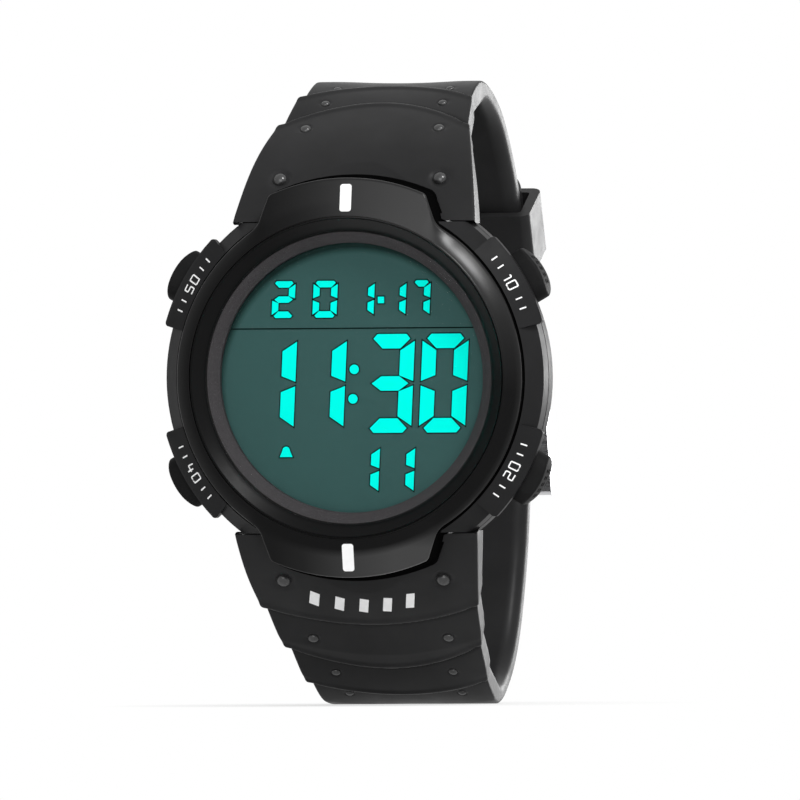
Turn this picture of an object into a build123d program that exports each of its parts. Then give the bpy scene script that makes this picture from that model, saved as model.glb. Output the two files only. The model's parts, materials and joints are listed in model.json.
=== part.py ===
from build123d import *
from math import atan2, cos, radians, sin
import os

# A digital sports watch: round resin case, four side pushers and a resin strap, buckled.
# Millimetres. +X points to 3 o'clock, +Z to 12 o'clock and +Y from the face into the wrist.
# The origin is the centre of the case back's outer face, and a height here is a distance
# from that face towards the front.

os.makedirs("parts", exist_ok=True)

# Shared clearances and overruns
overrun = 1.0                  # how far a cut runs past what it cuts
running_gap = 0.05             # radial gap of a shaft in its hole
fit_gap = 0.1                  # gap between pieces of the case that are fitted by hand

# Case back, with its gasket and screws
back_thickness = 1.2
foot_ring = 1.9                # the case's rear rim, round the case back
back_pad_radius = 14.0         # the raised flat that touches the wrist
back_pad_rise = 0.4
gasket_inset = 0.65            # centre line of the case back's seal, outside the cavity
gasket_wire = 0.35             # radius of its section
gasket_groove_width = 0.8
screw_inset = 0.7              # screws inside the case back's edge
screw_radius = 0.6
screw_head_radius = 1.0
screw_head_height = 0.35
screw_length = 3.6
screw_slot = 0.3
back_pad_edge = 0.2
screw_tab_radius = 1.7         # the ears of the case back that hold the screws

# Battery, board and what stands on them
back_room = 0.55               # between the case back and the battery
battery_radius = 10.0
battery_thickness = 2.5
battery_lip = 0.6              # step round the battery's inner pole
battery_gap = 0.2
clip_strip = 0.15              # sheet metal of the battery clip
clip_strip_width = 4.0
clip_overlap = 3.5             # how far each end of the clip passes the battery
contact_reach = 6.0
contact_room = 0.5             # between the battery and the board
board_thickness = 0.6
board_inset = 3.1              # board inside the cavity's wall
chip_side = 5.0
chip_height = 0.8
chip_taper = 12.0              # degrees
can_radius = 0.75              # timing crystal
can_length = 5.5
chip_offset = 5.0              # chip and timing crystal, to either side of the centre
buzzer_radius = 3.5
buzzer_room = 0.5              # between the buzzer and the battery, towards 6 o'clock
buzzer_thickness = 0.2
buzzer_coil_radius = 0.7
buzzer_wire = 0.12
buzzer_turns = 5

# Display stack
deck_thickness = 0.8
backlight_thickness = 0.25
backlight_inset = 0.6          # backlight inside the display's edge
lcd_thickness = 1.3
lcd_margin = 0.2               # display outside the window
mask_thickness = 0.9
mask_flange = 0.15             # the mask's rim, held between the crystal and the case
window_radius = 17.4
crystal_ledge = 1.3            # the ledge under the crystal's edge
crystal_thickness = 1.4
crystal_edge = 0.15            # its front chamfer
segment_thickness = 0.04
zebra_width = 1.8
zebra_length = 12.0
zebra_inset = 2.2              # strips inside the board's edge
zebra_gap = 0.15

# Case body
cavity_margin = 0.7            # cavity outside the display
shoulder_width = 2.15          # from the bezel to the side wall
foot_inset = 2.2               # the case's rear edge inside its side wall
foot_height = 0.3
taper_height = 4.1             # top of the rear taper
wall_groove_height = 6.3
wall_groove_width = 0.3
wall_groove_depth = 0.3
crystal_gasket_width = 0.5
rim_wall = 0.55                # case wall outside the crystal gasket
front_slope_depth = 2.6        # the shoulder's drop from the bezel to the side wall

# Bezel
bezel_slope_width = 2.1
bezel_bevel_width = 1.75       # from the opening to the bezel's top
bezel_slope_depth = 1.6
rim_gap = 0.25                 # open gap between the bezel's rim and the case
rim_drop = 0.9                 # the case's shoulder below that rim
bezel_lip = 1.45               # bezel above the crystal
crystal_cover = 0.6            # how far the bezel laps over the crystal
opening_edge = 0.15            # upright edge of the opening, above the crystal
bezel_bulge = 0.2              # how far the outer slope swells
bezel_skirt = 1.8              # how far the bezel reaches down from its rim
top_groove_width = 0.25
top_groove_depth = 0.25

# Bezel ears at 12 and 6 o'clock, and the lugs under them
ear_reach = 2.95               # past the bezel's rim
ear_base_half = 11.6
ear_top_half = 9.85
ear_corner_drop = 0.1455       # corner behind the start of the rounded end
ear_slope_depth = 1.0
ear_thickness = 4.2
mark_width = 1.5
mark_inset = 0.65              # mark outside the bezel's top
mark_length = 3.6
mark_thickness = 0.3
mark_proud = 0.06
mark_corner = 0.35
lug_inset = 0.3                # lug edge inside the ear's edge
lug_root_depth = 1.3           # how far a lug and an ear start behind the strap's end
lug_floor = 2.4                # lug's rear face
lug_edge_round = 1.0
ear_corner_step = 0.5          # how far the ear's bevelled corner stands out

# Pushers and their guards
pusher_angle = 30.0
pusher_above_board = 1.45
guard_half_angle = 14.5
guard_reach = 1.0              # past the case's side wall
guard_lip = 0.9                # thickness of the guard's outer edge
guard_edge = 0.4               # chamfer of that edge
guard_corner = 0.5             # round of its corners, seen from the front
cap_width = 7.2
cap_height = 4.3
cap_proud = 2.9                # middle of the cap's end outside the case's side wall
cap_bow_radius = 8.0           # bow of that end, seen from the front
cap_edge = 0.45
dimple_radius = 0.3
dimple_pitch = 0.9
dimple_floor = 0.35            # bottom of the pits behind the middle of the cap's end
dimple_columns = 5
dimple_rows = 2
pusher_travel = 0.8
shaft_radius = 0.95
tip_reach = 2.2                # shaft's inner end at rest, past the board's edge
spring_pocket_radius = 1.9
spring_room = 3.1              # length of a spring at rest
spring_coil_radius = 1.45
spring_wire = 0.16
spring_turns = 4
seal_room_radius = 1.5
seal_inset = 1.6               # seal behind the spring's seat
seal_wire = 0.25
seal_gap = 0.02                # between a shaft and its seal
seal_room_length = 0.8
circlip_radius = 1.35
circlip_thickness = 0.25
circlip_groove = 0.6           # radius left in its groove
contact_gap = 0.15             # left between a pressed shaft and its contact
contact_thickness = 0.15
contact_width = 1.8
contact_foot = 2.2

# Strap loop, seen from the side: how far it reaches from the dial's centre
loop_top = 38.4
loop_bottom = 42.4
loop_depth = 64.0              # from the bezel's top plane to the strap's rear surface
root_depth = 4.8               # strap surface at the case, below the bezel's top plane
root_inset = 0.55              # strap's end inside the bezel's top edge, beside the ears
root_thickness = 4.2
rear_thickness = 2.8
root_half_width = 16.1
rear_half_width = 10.8
tail_half_width = 10.4
tail_thickness = 2.4
layer_gap = 0.35               # between the strap's two layers
ear_gap = 0.4                  # between a bezel ear and the strap's cut-out
plate_step = 0.45              # drop at the end of each plate of the strap
bump_radius = 0.9
bar_radius = 0.75
bar_pin_radius = 0.4
bar_inset = 2.6                # spring bar inside the lug's round end
bar_drop = 4.8                 # spring bar below the strap's surface at its root
bar_end_gap = 2.1              # strap left outside the spring bar's end
bar_pin_length = 0.8
prong_gap = 0.15               # between a lug and the strap's prongs

# Buckle and keeper
buckle_reach = 10.0            # pivot bar to far bar, down the strap
pivot_offset = -4.0            # pivot bar's place up or down from the dial's centre
far_bar_radius = 1.1
arm_thickness = 1.7
arm_gap = 0.4
arm_end_radius = 1.5
knuckle_radius = 1.55
tongue_width = 2.0
tongue_ring = 1.45             # radius of its eye round the pivot bar
tongue_thickness = 1.1
tongue_slot_gap = 0.35
tongue_rest_gap = 0.08
hole_width = 2.7
hole_length = 4.6
holes_below = 5                # spare holes on either side of the one in use
holes_above = 3
hole_pitch = 6.6
keeper_length = 8.2
keeper_wall = 1.3
keeper_gap = 0.45
keeper_edge = 0.5

# Digits on the display: each cell's right edge and middle height from the dial's centre
time_size = (12.75, 1.87)      # height and stroke
time_right_edges = [-7.63, -1.03, 7.97, 15.1]
time_widths = [6.1, 6.1, 6.1, 6.1]
time_middle = -0.78
date_size = (4.75, 0.84)
date_right_edges = [-7.6, -2.0, 2.9, 7.1, 10.3]
date_widths = [3.0, 3.2, 3.1, 3.1, 2.4]
date_middle = 10.14
date_dash_place = (3.8, 10.0)
seconds_size = (6.5, 1.12)
seconds_right_edges = [3.4, 8.06]
seconds_widths = [3.9, 3.9]
seconds_middle = -11.9
colon_places = [(0.2, 1.07), (0.0, -2.74)]
colon_radius = 0.62
bell_place = (-8.9, -9.35)
bell_radius = 0.5
bell_flare = 0.35              # how far its mouth is wider
rule_height = 6.37             # the thin line between the date and the time
rule_width = 0.17
digit_lean = 2.9               # degrees

# shares of a digit's stroke: how its segments' ends are cut
tip_share = 0.48
slant_share = 0.66
joint_share = 0.55
cut_share = 0.6
nose_share = 0.33
gap_share = 0.16

# Shares of the loop's reach past the strap's root, (height, depth), round the outer surface
upper_shares = [(0.464, 0.108), (0.757, 0.236), (0.922, 0.341), (1.0, 0.485), (0.912, 0.591),
                (0.74, 0.689), (0.569, 0.747), (0.398, 0.796), (0.227, 0.834)]
upper_step_shares = [(0.757, 0.236), (0.922, 0.341)]
keeper_share = (-0.066, 0.885)
inner_layer_shares = [keeper_share, (-0.453, 0.929), (-0.84, 0.956)]
lower_shares = [(0.21, 0.055), (0.464, 0.166), (0.712, 0.307), (0.892, 0.426), (1.0, 0.56),
                (0.964, 0.669), (0.851, 0.757), (0.64, 0.834), (0.36, 0.892), (0.081, 0.932)]
lower_step_shares = [(0.464, 0.166), (0.712, 0.307), (0.892, 0.426)]
pivot_depth_share = 0.943
under_bar_share = 0.965
# shares of the way from the rear thickness and width to those at the root, by depth
thickness_shares = [(0.0, 1.0), (0.25, 0.5), (0.5, 0.15), (0.7, 0.0), (1.1, 0.0)]
upper_width_shares = [(0.0, 1.0), (0.108, 0.67), (0.194, 0.44), (0.314, 0.21), (0.42, 0.08), (0.52, 0.0)]
lower_width_shares = [(0.0, 1.0), (0.111, 0.75), (0.255, 0.48), (0.363, 0.33), (0.473, 0.22), (0.6, 0.08),
                      (0.72, 0.0)]
# bumps in pairs: height and depth as above, then the share of the root's half width
upper_bump_shares = [(0.293, 0.066, 0.66), (0.663, 0.187, 0.55), (0.86, 0.297, 0.485), (0.985, 0.42, 0.466)]
lower_bump_shares = [(0.28, 0.082, 0.66), (0.615, 0.253, 0.56), (0.83, 0.383, 0.485), (0.962, 0.49, 0.47)]
# the tongue's middle line: shares of the buckle's reach, and of the rise onto the far bar
tongue_shares = [(0.0, 0.0), (0.34, 0.04), (0.62, 0.82), (0.8, 1.0), (1.17, 1.0)]
tongue_hole_share = 0.47

# Radii, from the display outwards
lcd_radius = window_radius + lcd_margin
backlight_radius = lcd_radius - backlight_inset
cavity_radius = lcd_radius + cavity_margin
crystal_radius = cavity_radius + crystal_ledge
opening_radius = crystal_radius - crystal_cover
bezel_top_radius = opening_radius + bezel_bevel_width
bezel_radius = bezel_top_radius + bezel_slope_width
case_radius = bezel_radius + shoulder_width
foot_radius = case_radius - foot_inset
back_radius = foot_radius - foot_ring
gasket_radius = cavity_radius + gasket_inset
screw_offset = back_radius - screw_inset
ear_radius = bezel_radius + ear_reach
guard_radius = case_radius + guard_reach
cap_end_radius = case_radius + cap_proud
root_offset = bezel_top_radius - root_inset
lug_root_offset = root_offset - lug_root_depth
board_radius = cavity_radius - board_inset
zebra_offset = board_radius - zebra_inset
buzzer_offset = battery_radius + buzzer_room + buzzer_radius
clip_reach = battery_radius + clip_overlap
spring_floor = case_radius - spring_room
seal_centre = spring_floor - seal_inset
tip_radius = board_radius + tip_reach

# Heights above the case back's face, one on the other
battery_height = back_thickness + back_room
battery_top = battery_height + battery_thickness
board_height = battery_top + contact_room
board_top = board_height + board_thickness
pusher_height = board_top + pusher_above_board
deck_height = pusher_height + circlip_radius + fit_gap
deck_top = deck_height + deck_thickness
lcd_height = deck_top + backlight_thickness
lcd_top = lcd_height + lcd_thickness
ledge_height = lcd_top + mask_thickness
crystal_height = ledge_height + mask_flange
crystal_top = crystal_height + crystal_thickness
case_depth = crystal_top + bezel_lip
front_edge_height = case_depth - bezel_slope_depth
shoulder_top = front_edge_height - rim_drop
shoulder_height = shoulder_top - front_slope_depth
bezel_seat = front_edge_height - bezel_skirt
ear_seat = case_depth - ear_slope_depth - ear_thickness
rim_radius = crystal_radius + crystal_gasket_width + rim_wall
frame_radius = cavity_radius - 2 * fit_gap
spacer_height = back_thickness + 1.5 * fit_gap
lcd_middle = lcd_height + lcd_thickness / 2
contact_radius = tip_radius - pusher_travel - contact_gap
ledge_offset = zebra_offset - zebra_width / 2 - zebra_gap
gasket_floor = back_thickness + 2 * gasket_wire + running_gap
guard_floor = pusher_height + cap_height / 2 + fit_gap
cap_pocket_floor = case_radius - pusher_travel - fit_gap
bar_offset = ear_radius - bar_inset
bar_height = case_depth - root_depth - bar_drop
prong_cut_length = ear_radius - root_offset + overrun
prong_cut_centre = root_offset - prong_gap + prong_cut_length / 2


def turning_plane(angle=0.0):
    # local x runs outwards from the dial's centre at this angle, local y towards the front
    turn = radians(angle)
    return Plane(origin=(0, 0, 0), x_dir=(cos(turn), 0, sin(turn)), z_dir=(sin(turn), 0, -cos(turn)))


def outward_plane(angle, radius, height):
    # a plane square to a pusher's axis, its local y pointing to the front
    turn = radians(angle)
    place = (radius * cos(turn), -height, radius * sin(turn))
    return Plane(origin=place, x_dir=(-sin(turn), 0, cos(turn)), z_dir=(cos(turn), 0, sin(turn)))


front_axis = Axis((0, 0, 0), (0, -1, 0))
pusher_angles = [pusher_angle, 180 - pusher_angle, 180 + pusher_angle, 360 - pusher_angle]


def front_plane(height):
    # a plane across the watch at this height, its normal towards the viewer
    return Plane.XZ.offset(height)


def mark_plane(side):
    # the front of an ear where its index mark lies; local y points to 12 o'clock
    slope = atan2(ear_slope_depth, ear_radius - bezel_top_radius)
    radius = bezel_top_radius + mark_inset + mark_length / 2
    height = case_depth - (radius - bezel_top_radius) * sin(slope) / cos(slope)
    normal = (0, -cos(slope), side * sin(slope))
    return Plane(origin=(0, -height, side * radius), x_dir=(1, 0, 0), z_dir=normal)


def save(part, name):
    part.label = name
    export_step(part, "parts/" + name + ".step")


# The ear's outline from the front, for the 12 o'clock side: straight flanks, then an arc.
# A reach grows the outline, for the gap around it; a negative one makes the lug under it.
def ear_outline(reach, side):
    radius = ear_radius + reach
    top_half = ear_top_half + reach
    corner_half = top_half + ear_corner_step
    base_half = ear_base_half + reach
    top_offset = side * (radius**2 - top_half**2) ** 0.5
    corner_offset = side * ((ear_radius**2 - ear_top_half**2) ** 0.5 - ear_corner_drop)
    inner_offset = side * lug_root_offset
    inner_half = (bezel_top_radius**2 - lug_root_offset**2) ** 0.5
    side_offset = side * (root_offset - prong_gap)
    with BuildLine() as line:
        Line((-inner_half, inner_offset), (-base_half, side_offset))
        Line((-base_half, side_offset), (-base_half, side * root_offset))
        Line((-base_half, side * root_offset), (-corner_half, corner_offset))
        Line((-corner_half, corner_offset), (-top_half, top_offset))
        ThreePointArc((-top_half, top_offset), (0, side * radius), (top_half, top_offset))
        Line((top_half, top_offset), (corner_half, corner_offset))
        Line((corner_half, corner_offset), (base_half, side * root_offset))
        Line((base_half, side * root_offset), (base_half, side_offset))
        Line((base_half, side_offset), (inner_half, inner_offset))
        Line((inner_half, inner_offset), (-inner_half, inner_offset))
    return line.line


# Lugs under the ears, drilled for the strap's spring bars
with BuildPart() as lugs:
    for side in (1, -1):
        with BuildSketch(front_plane(lug_floor)):
            make_face(ear_outline(-lug_inset, side))
        extrude(amount=ear_seat - lug_floor)
    rear_edges = lugs.edges().group_by(Axis.Y)[-1].filter_by(GeomType.CIRCLE)
    fillet(rear_edges, lug_edge_round)

# Button guards, each a hood over one pusher
with BuildPart() as guards:
    with BuildSketch(turning_plane()):
        with BuildLine():
            Polyline(
                (bezel_radius + rim_gap, shoulder_top),
                (guard_radius - guard_edge, guard_floor + guard_lip + guard_edge),
                (guard_radius, guard_floor + guard_lip),
                (guard_radius, guard_floor),
                (bezel_radius + rim_gap, guard_floor),
                close=True,
            )
        make_face()
    revolve(axis=Axis.Y)
    with BuildSketch(front_plane(guard_floor)):
        for angle in pusher_angles:
            with BuildLine() as sector:
                sides = [radians(angle + turn) for turn in (-guard_half_angle, 0, guard_half_angle)]
                inner = [(bezel_radius * cos(side), bezel_radius * sin(side)) for side in sides]
                outer = [(guard_radius * cos(side), guard_radius * sin(side)) for side in sides]
                ThreePointArc(*inner)
                Line(inner[-1], outer[-1])
                ThreePointArc(*outer[::-1])
                Line(outer[0], inner[0])
            make_face(sector.line)
        tips = [v for v in vertices() if v.X**2 + v.Y**2 > case_radius**2]
        fillet(tips, guard_corner)
    extrude(amount=shoulder_top - guard_floor, mode=Mode.INTERSECT)

with BuildPart() as case_body:
    with BuildSketch(turning_plane()):
        with BuildLine():
            Polyline(
                (cavity_radius, back_thickness),
                (cavity_radius, ledge_height),
                (crystal_radius + crystal_gasket_width, ledge_height),
                (crystal_radius + crystal_gasket_width, crystal_top - fit_gap),
                (rim_radius, crystal_top - fit_gap),
                (rim_radius, bezel_seat),
                (bezel_radius + rim_gap, bezel_seat),
                (bezel_radius + rim_gap, shoulder_top),
                (case_radius, shoulder_height),
                (case_radius, wall_groove_height + wall_groove_width),
                (case_radius - wall_groove_depth, wall_groove_height + wall_groove_width),
                (case_radius - wall_groove_depth, wall_groove_height),
                (case_radius, wall_groove_height),
                (case_radius, taper_height),
                (foot_radius, foot_height),
                (back_radius + fit_gap, foot_height),
                (back_radius + fit_gap, back_thickness),
                (gasket_radius + gasket_groove_width / 2, back_thickness),
                (gasket_radius + gasket_groove_width / 2, gasket_floor),
                (gasket_radius - gasket_groove_width / 2, gasket_floor),
                (gasket_radius - gasket_groove_width / 2, back_thickness),
                close=True,
            )
        make_face()
    revolve(axis=Axis.Y)
    add(guards.part)
    # flats that the strap's prongs lie on, beside the lugs
    with BuildSketch(front_plane(0)):
        for side in (1, -1):
            with Locations((0, side * prong_cut_centre)):
                Rectangle(2 * (root_half_width + overrun), prong_cut_length)
            make_face(ear_outline(-lug_inset, side), mode=Mode.SUBTRACT)
    extrude(amount=case_depth, mode=Mode.SUBTRACT)
    # seats of the bezel's ears, on top of the lugs
    with BuildSketch(front_plane(ear_seat)):
        for side in (1, -1):
            make_face(ear_outline(fit_gap, side))
        Circle(rim_radius, mode=Mode.SUBTRACT)
    extrude(amount=case_depth, mode=Mode.SUBTRACT)
    add(lugs.part)
    with BuildSketch(Plane.YZ):
        with Locations((-bar_height, bar_offset), (-bar_height, -bar_offset)):
            Circle(bar_radius + running_gap)
    extrude(amount=root_half_width, both=True, mode=Mode.SUBTRACT)
    # pusher shafts' holes, with room for a seal and for a spring, and the caps' pockets
    for angle in pusher_angles:
        with BuildSketch(outward_plane(angle, cavity_radius - overrun, pusher_height)):
            Circle(shaft_radius + running_gap)
        extrude(amount=case_radius - cavity_radius + overrun, mode=Mode.SUBTRACT)
        with BuildSketch(outward_plane(angle, seal_centre - seal_room_length / 2, pusher_height)):
            Circle(seal_room_radius)
        extrude(amount=seal_room_length, mode=Mode.SUBTRACT)
        with BuildSketch(outward_plane(angle, spring_floor, pusher_height)):
            Circle(spring_pocket_radius)
        extrude(amount=case_radius - spring_floor + overrun, mode=Mode.SUBTRACT)
        with BuildSketch(outward_plane(angle, cap_pocket_floor, pusher_height)):
            SlotOverall(cap_width + 2 * fit_gap, cap_height + 2 * fit_gap)
        extrude(amount=guard_radius - cap_pocket_floor + overrun, mode=Mode.SUBTRACT)
    # screw seats of the case back, blind from the rear
    with BuildSketch(front_plane(0)):
        with PolarLocations(screw_offset, 4, start_angle=45):
            Circle(screw_tab_radius + fit_gap)
    extrude(amount=back_thickness, mode=Mode.SUBTRACT)
    with BuildSketch(front_plane(back_thickness)):
        with PolarLocations(screw_offset, 4, start_angle=45):
            Circle(screw_radius)
    extrude(amount=screw_length, mode=Mode.SUBTRACT)
save(case_body.part, "case_body")

# Bezel: a ring that holds the crystal down, and an ear over each lug
with BuildPart() as bezel:
    with BuildSketch(turning_plane()):
        with BuildLine():
            Line((opening_radius, crystal_top), (opening_radius, crystal_top + opening_edge))
            Line((opening_radius, crystal_top + opening_edge), (bezel_top_radius, case_depth))
            ThreePointArc(
                (bezel_top_radius, case_depth),
                (
                    (bezel_top_radius + bezel_radius) / 2 + bezel_bulge,
                    (case_depth + front_edge_height) / 2 + bezel_bulge,
                ),
                (bezel_radius, front_edge_height),
            )
            Line((bezel_radius, front_edge_height), (bezel_radius, bezel_seat))
            Line((bezel_radius, bezel_seat), (rim_radius + fit_gap, bezel_seat))
            Line((rim_radius + fit_gap, bezel_seat), (rim_radius + fit_gap, crystal_top))
            Line((rim_radius + fit_gap, crystal_top), (opening_radius, crystal_top))
        make_face()
    revolve(axis=Axis.Y)
    with BuildSketch(front_plane(ear_seat)):
        for side in (1, -1):
            make_face(ear_outline(0, side))
        Circle(rim_radius + fit_gap, mode=Mode.SUBTRACT)
    extrude(amount=case_depth - ear_seat)
    # the ears' fronts fall away from the groove
    with BuildSketch(turning_plane()):
        with BuildLine():
            Polyline(
                (bezel_top_radius, case_depth),
                (ear_radius, case_depth - ear_slope_depth),
                (ear_radius + overrun, case_depth - ear_slope_depth),
                (ear_radius + overrun, case_depth + overrun),
                (bezel_top_radius, case_depth + overrun),
                close=True,
            )
        make_face()
    revolve(axis=Axis.Y, mode=Mode.SUBTRACT)
    with BuildSketch(turning_plane()):
        with Locations((bezel_top_radius, case_depth)):
            Rectangle(top_groove_width, 2 * top_groove_depth)
    revolve(axis=Axis.Y, mode=Mode.SUBTRACT)
    for side in (1, -1):
        with BuildSketch(mark_plane(side)):
            RectangleRounded(mark_width, mark_length, mark_corner)
        extrude(amount=-mark_thickness, mode=Mode.SUBTRACT)
save(bezel.part, "bezel")

with BuildPart() as index_marks:
    for side in (1, -1):
        with BuildSketch(mark_plane(side).offset(-mark_thickness)):
            RectangleRounded(mark_width, mark_length, mark_corner)
        extrude(amount=mark_thickness + mark_proud)
save(index_marks.part, "index_marks")

with BuildPart() as crystal:
    with BuildSketch(front_plane(crystal_height)):
        Circle(crystal_radius)
    extrude(amount=crystal_thickness)
    chamfer(crystal.edges().group_by(Axis.Y)[0], crystal_edge)
save(crystal.part, "crystal")

with BuildPart() as crystal_gasket:
    with BuildSketch(front_plane(crystal_height)):
        Circle(crystal_radius + crystal_gasket_width)
        Circle(crystal_radius + running_gap, mode=Mode.SUBTRACT)
    extrude(amount=crystal_thickness - fit_gap)
save(crystal_gasket.part, "crystal_gasket")

with BuildPart() as dial_mask:
    with BuildSketch(front_plane(lcd_top)):
        Circle(frame_radius)
        Circle(window_radius, mode=Mode.SUBTRACT)
    extrude(amount=mask_thickness)
    with BuildSketch(front_plane(ledge_height)):
        Circle(crystal_radius)
        Circle(window_radius, mode=Mode.SUBTRACT)
    extrude(amount=mask_flange)
save(dial_mask.part, "dial_mask")

# The display's front plate is round; its rear plate leaves ledges for the zebra strips
with BuildPart() as lcd_glass:
    with BuildSketch(front_plane(lcd_height)):
        Circle(lcd_radius)
        Rectangle(2 * lcd_radius, 2 * ledge_offset, mode=Mode.INTERSECT)
    extrude(amount=lcd_thickness / 2)
    with BuildSketch(front_plane(lcd_middle)):
        Circle(lcd_radius)
    extrude(amount=lcd_thickness / 2)
save(lcd_glass.part, "lcd_glass")

with BuildPart() as el_backlight:
    with BuildSketch(front_plane(deck_top)):
        Circle(backlight_radius)
        Rectangle(2 * backlight_radius, 2 * ledge_offset, mode=Mode.INTERSECT)
    extrude(amount=backlight_thickness)
save(el_backlight.part, "el_backlight")

# Seven-segment digits, lettered a to g clockwise from the top with g in the middle
digit_segments = {0: "abcdef", 1: "bc", 2: "abged", 3: "abgcd", 7: "abc"}


def add_digit(digit, right, width, middle, size):
    height, stroke = size
    left = right - width
    top = middle + height / 2
    bottom = middle - height / 2
    # the upright strokes stop short of the level ones, whose outer corners are cut
    tip = tip_share * stroke
    slant = tip + slant_share * stroke
    notch = joint_share * stroke
    cut = cut_share * stroke
    nose = nose_share * stroke
    gap = gap_share * stroke
    outlines = {
        "a": [(left + cut, top), (right - cut, top), (right - nose, top - tip + gap),
              (right - stroke, top - stroke), (left + stroke, top - stroke),
              (left + nose, top - tip + gap)],
        "b": [(right, top - tip), (right - stroke, top - slant),
              (right - stroke, middle + notch), (right, middle + gap)],
        "c": [(right, bottom + tip), (right - stroke, bottom + slant),
              (right - stroke, middle - notch), (right, middle - gap)],
        "d": [(left + cut, bottom), (right - cut, bottom), (right - nose, bottom + tip - gap),
              (right - stroke, bottom + stroke), (left + stroke, bottom + stroke),
              (left + nose, bottom + tip - gap)],
        "e": [(left, bottom + tip), (left + stroke, bottom + slant),
              (left + stroke, middle - notch), (left, middle - gap)],
        "f": [(left, top - tip), (left + stroke, top - slant),
              (left + stroke, middle + notch), (left, middle + gap)],
        "g": [(left + nose, middle), (left + stroke, middle + stroke / 2),
              (right - stroke, middle + stroke / 2), (right - nose, middle),
              (right - stroke, middle - stroke / 2), (left + stroke, middle - stroke / 2)],
    }
    lean = sin(radians(digit_lean))
    for name in digit_segments[digit]:
        corners = [(x + (y - middle) * lean, y) for x, y in outlines[name]]
        Polygon(*corners, align=None)


with BuildPart() as lcd_segments:
    with BuildSketch(front_plane(lcd_top)):
        for digit, right, width in zip((1, 1, 3, 0), time_right_edges, time_widths):
            add_digit(digit, right, width, time_middle, time_size)
        for digit, right, width in zip((2, 0, 1, 1, 7), date_right_edges, date_widths):
            add_digit(digit, right, width, date_middle, date_size)
        for right, width in zip(seconds_right_edges, seconds_widths):
            add_digit(1, right, width, seconds_middle, seconds_size)
        with Locations(*colon_places):
            Circle(colon_radius)
        with Locations(date_dash_place):
            Rectangle(date_size[1], date_size[1])
        # a small bell
        bell_x, bell_z = bell_place
        with Locations(bell_place):
            Circle(bell_radius)
        Polygon((bell_x - bell_radius, bell_z), (bell_x + bell_radius, bell_z),
                (bell_x + bell_radius + bell_flare, bell_z - bell_radius - bell_flare),
                (bell_x - bell_radius - bell_flare, bell_z - bell_radius - bell_flare), align=None)
    extrude(amount=segment_thickness)
save(lcd_segments.part, "lcd_segments")

with BuildPart() as display_rule:
    rule_reach = (window_radius**2 - rule_height**2) ** 0.5 - fit_gap
    with BuildSketch(front_plane(lcd_top)):
        with Locations((0, rule_height)):
            Rectangle(2 * rule_reach, rule_width)
    extrude(amount=segment_thickness)
save(display_rule.part, "display_rule")

# The module: a frame that carries the display, with the board under it and the battery behind
with BuildPart() as module_frame:
    with BuildSketch(front_plane(board_height)):
        Circle(frame_radius)
        Circle(board_radius + fit_gap, mode=Mode.SUBTRACT)
    extrude(amount=deck_height - board_height)
    with BuildSketch(front_plane(deck_height)):
        Circle(frame_radius)
    extrude(amount=deck_thickness)
    with BuildSketch(front_plane(deck_top)):
        Circle(frame_radius)
        Circle(lcd_radius + fit_gap, mode=Mode.SUBTRACT)
    extrude(amount=lcd_top - deck_top)
    with BuildSketch(front_plane(deck_height)):
        with Locations((0, zebra_offset), (0, -zebra_offset)):
            Rectangle(zebra_length + 2 * zebra_gap, zebra_width + 2 * zebra_gap)
    extrude(amount=deck_thickness, mode=Mode.SUBTRACT)
    for angle in pusher_angles:
        with BuildSketch(outward_plane(angle, board_radius - overrun, pusher_height)):
            Rectangle(2 * (circlip_radius + fit_gap), 2 * (circlip_radius + fit_gap))
        extrude(amount=frame_radius - board_radius + 2 * overrun, mode=Mode.SUBTRACT)
save(module_frame.part, "module_frame")

with BuildPart() as zebra_strips:
    with BuildSketch(front_plane(board_top)):
        with Locations((0, zebra_offset), (0, -zebra_offset)):
            Rectangle(zebra_length, zebra_width)
    extrude(amount=lcd_middle - board_top)
save(zebra_strips.part, "zebra_strips")

with BuildPart() as circuit_board:
    with BuildSketch(front_plane(board_height)):
        Circle(board_radius)
    extrude(amount=board_thickness)
save(circuit_board.part, "circuit_board")

with BuildPart() as driver_chip:
    with BuildSketch(front_plane(board_top)):
        with Locations((-chip_offset, 0)):
            RectangleRounded(chip_side, chip_side, chip_side / 5)
    extrude(amount=chip_height, taper=chip_taper)
save(driver_chip.part, "driver_chip")

with BuildPart() as timing_crystal:
    with BuildSketch(Plane.YZ.offset(chip_offset - can_length / 2)):
        with Locations((-board_top - can_radius, 0)):
            Circle(can_radius)
    extrude(amount=can_length)
save(timing_crystal.part, "timing_crystal")

with BuildPart() as battery:
    with BuildSketch(front_plane(battery_height)):
        Circle(battery_radius)
    extrude(amount=battery_thickness)
    with BuildSketch(front_plane(battery_top)):
        Circle(battery_radius)
        Circle(battery_radius - battery_lip, mode=Mode.SUBTRACT)
    extrude(amount=-battery_lip / 2, mode=Mode.SUBTRACT)
    chamfer(battery.edges().group_by(Axis.Y)[-1], battery_lip / 2)
save(battery.part, "battery")

# A strap of sheet metal under the battery, folded into the spacer's slot at both ends
with BuildPart() as battery_clip:
    with BuildSketch(front_plane(battery_height - clip_strip)):
        Rectangle(2 * clip_reach, clip_strip_width)
        with Locations((clip_reach - clip_strip_width / 2, 0), (clip_strip_width / 2 - clip_reach, 0)):
            Circle(clip_strip_width / 5, mode=Mode.SUBTRACT)
    extrude(amount=clip_strip)
save(battery_clip.part, "battery_clip")

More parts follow.
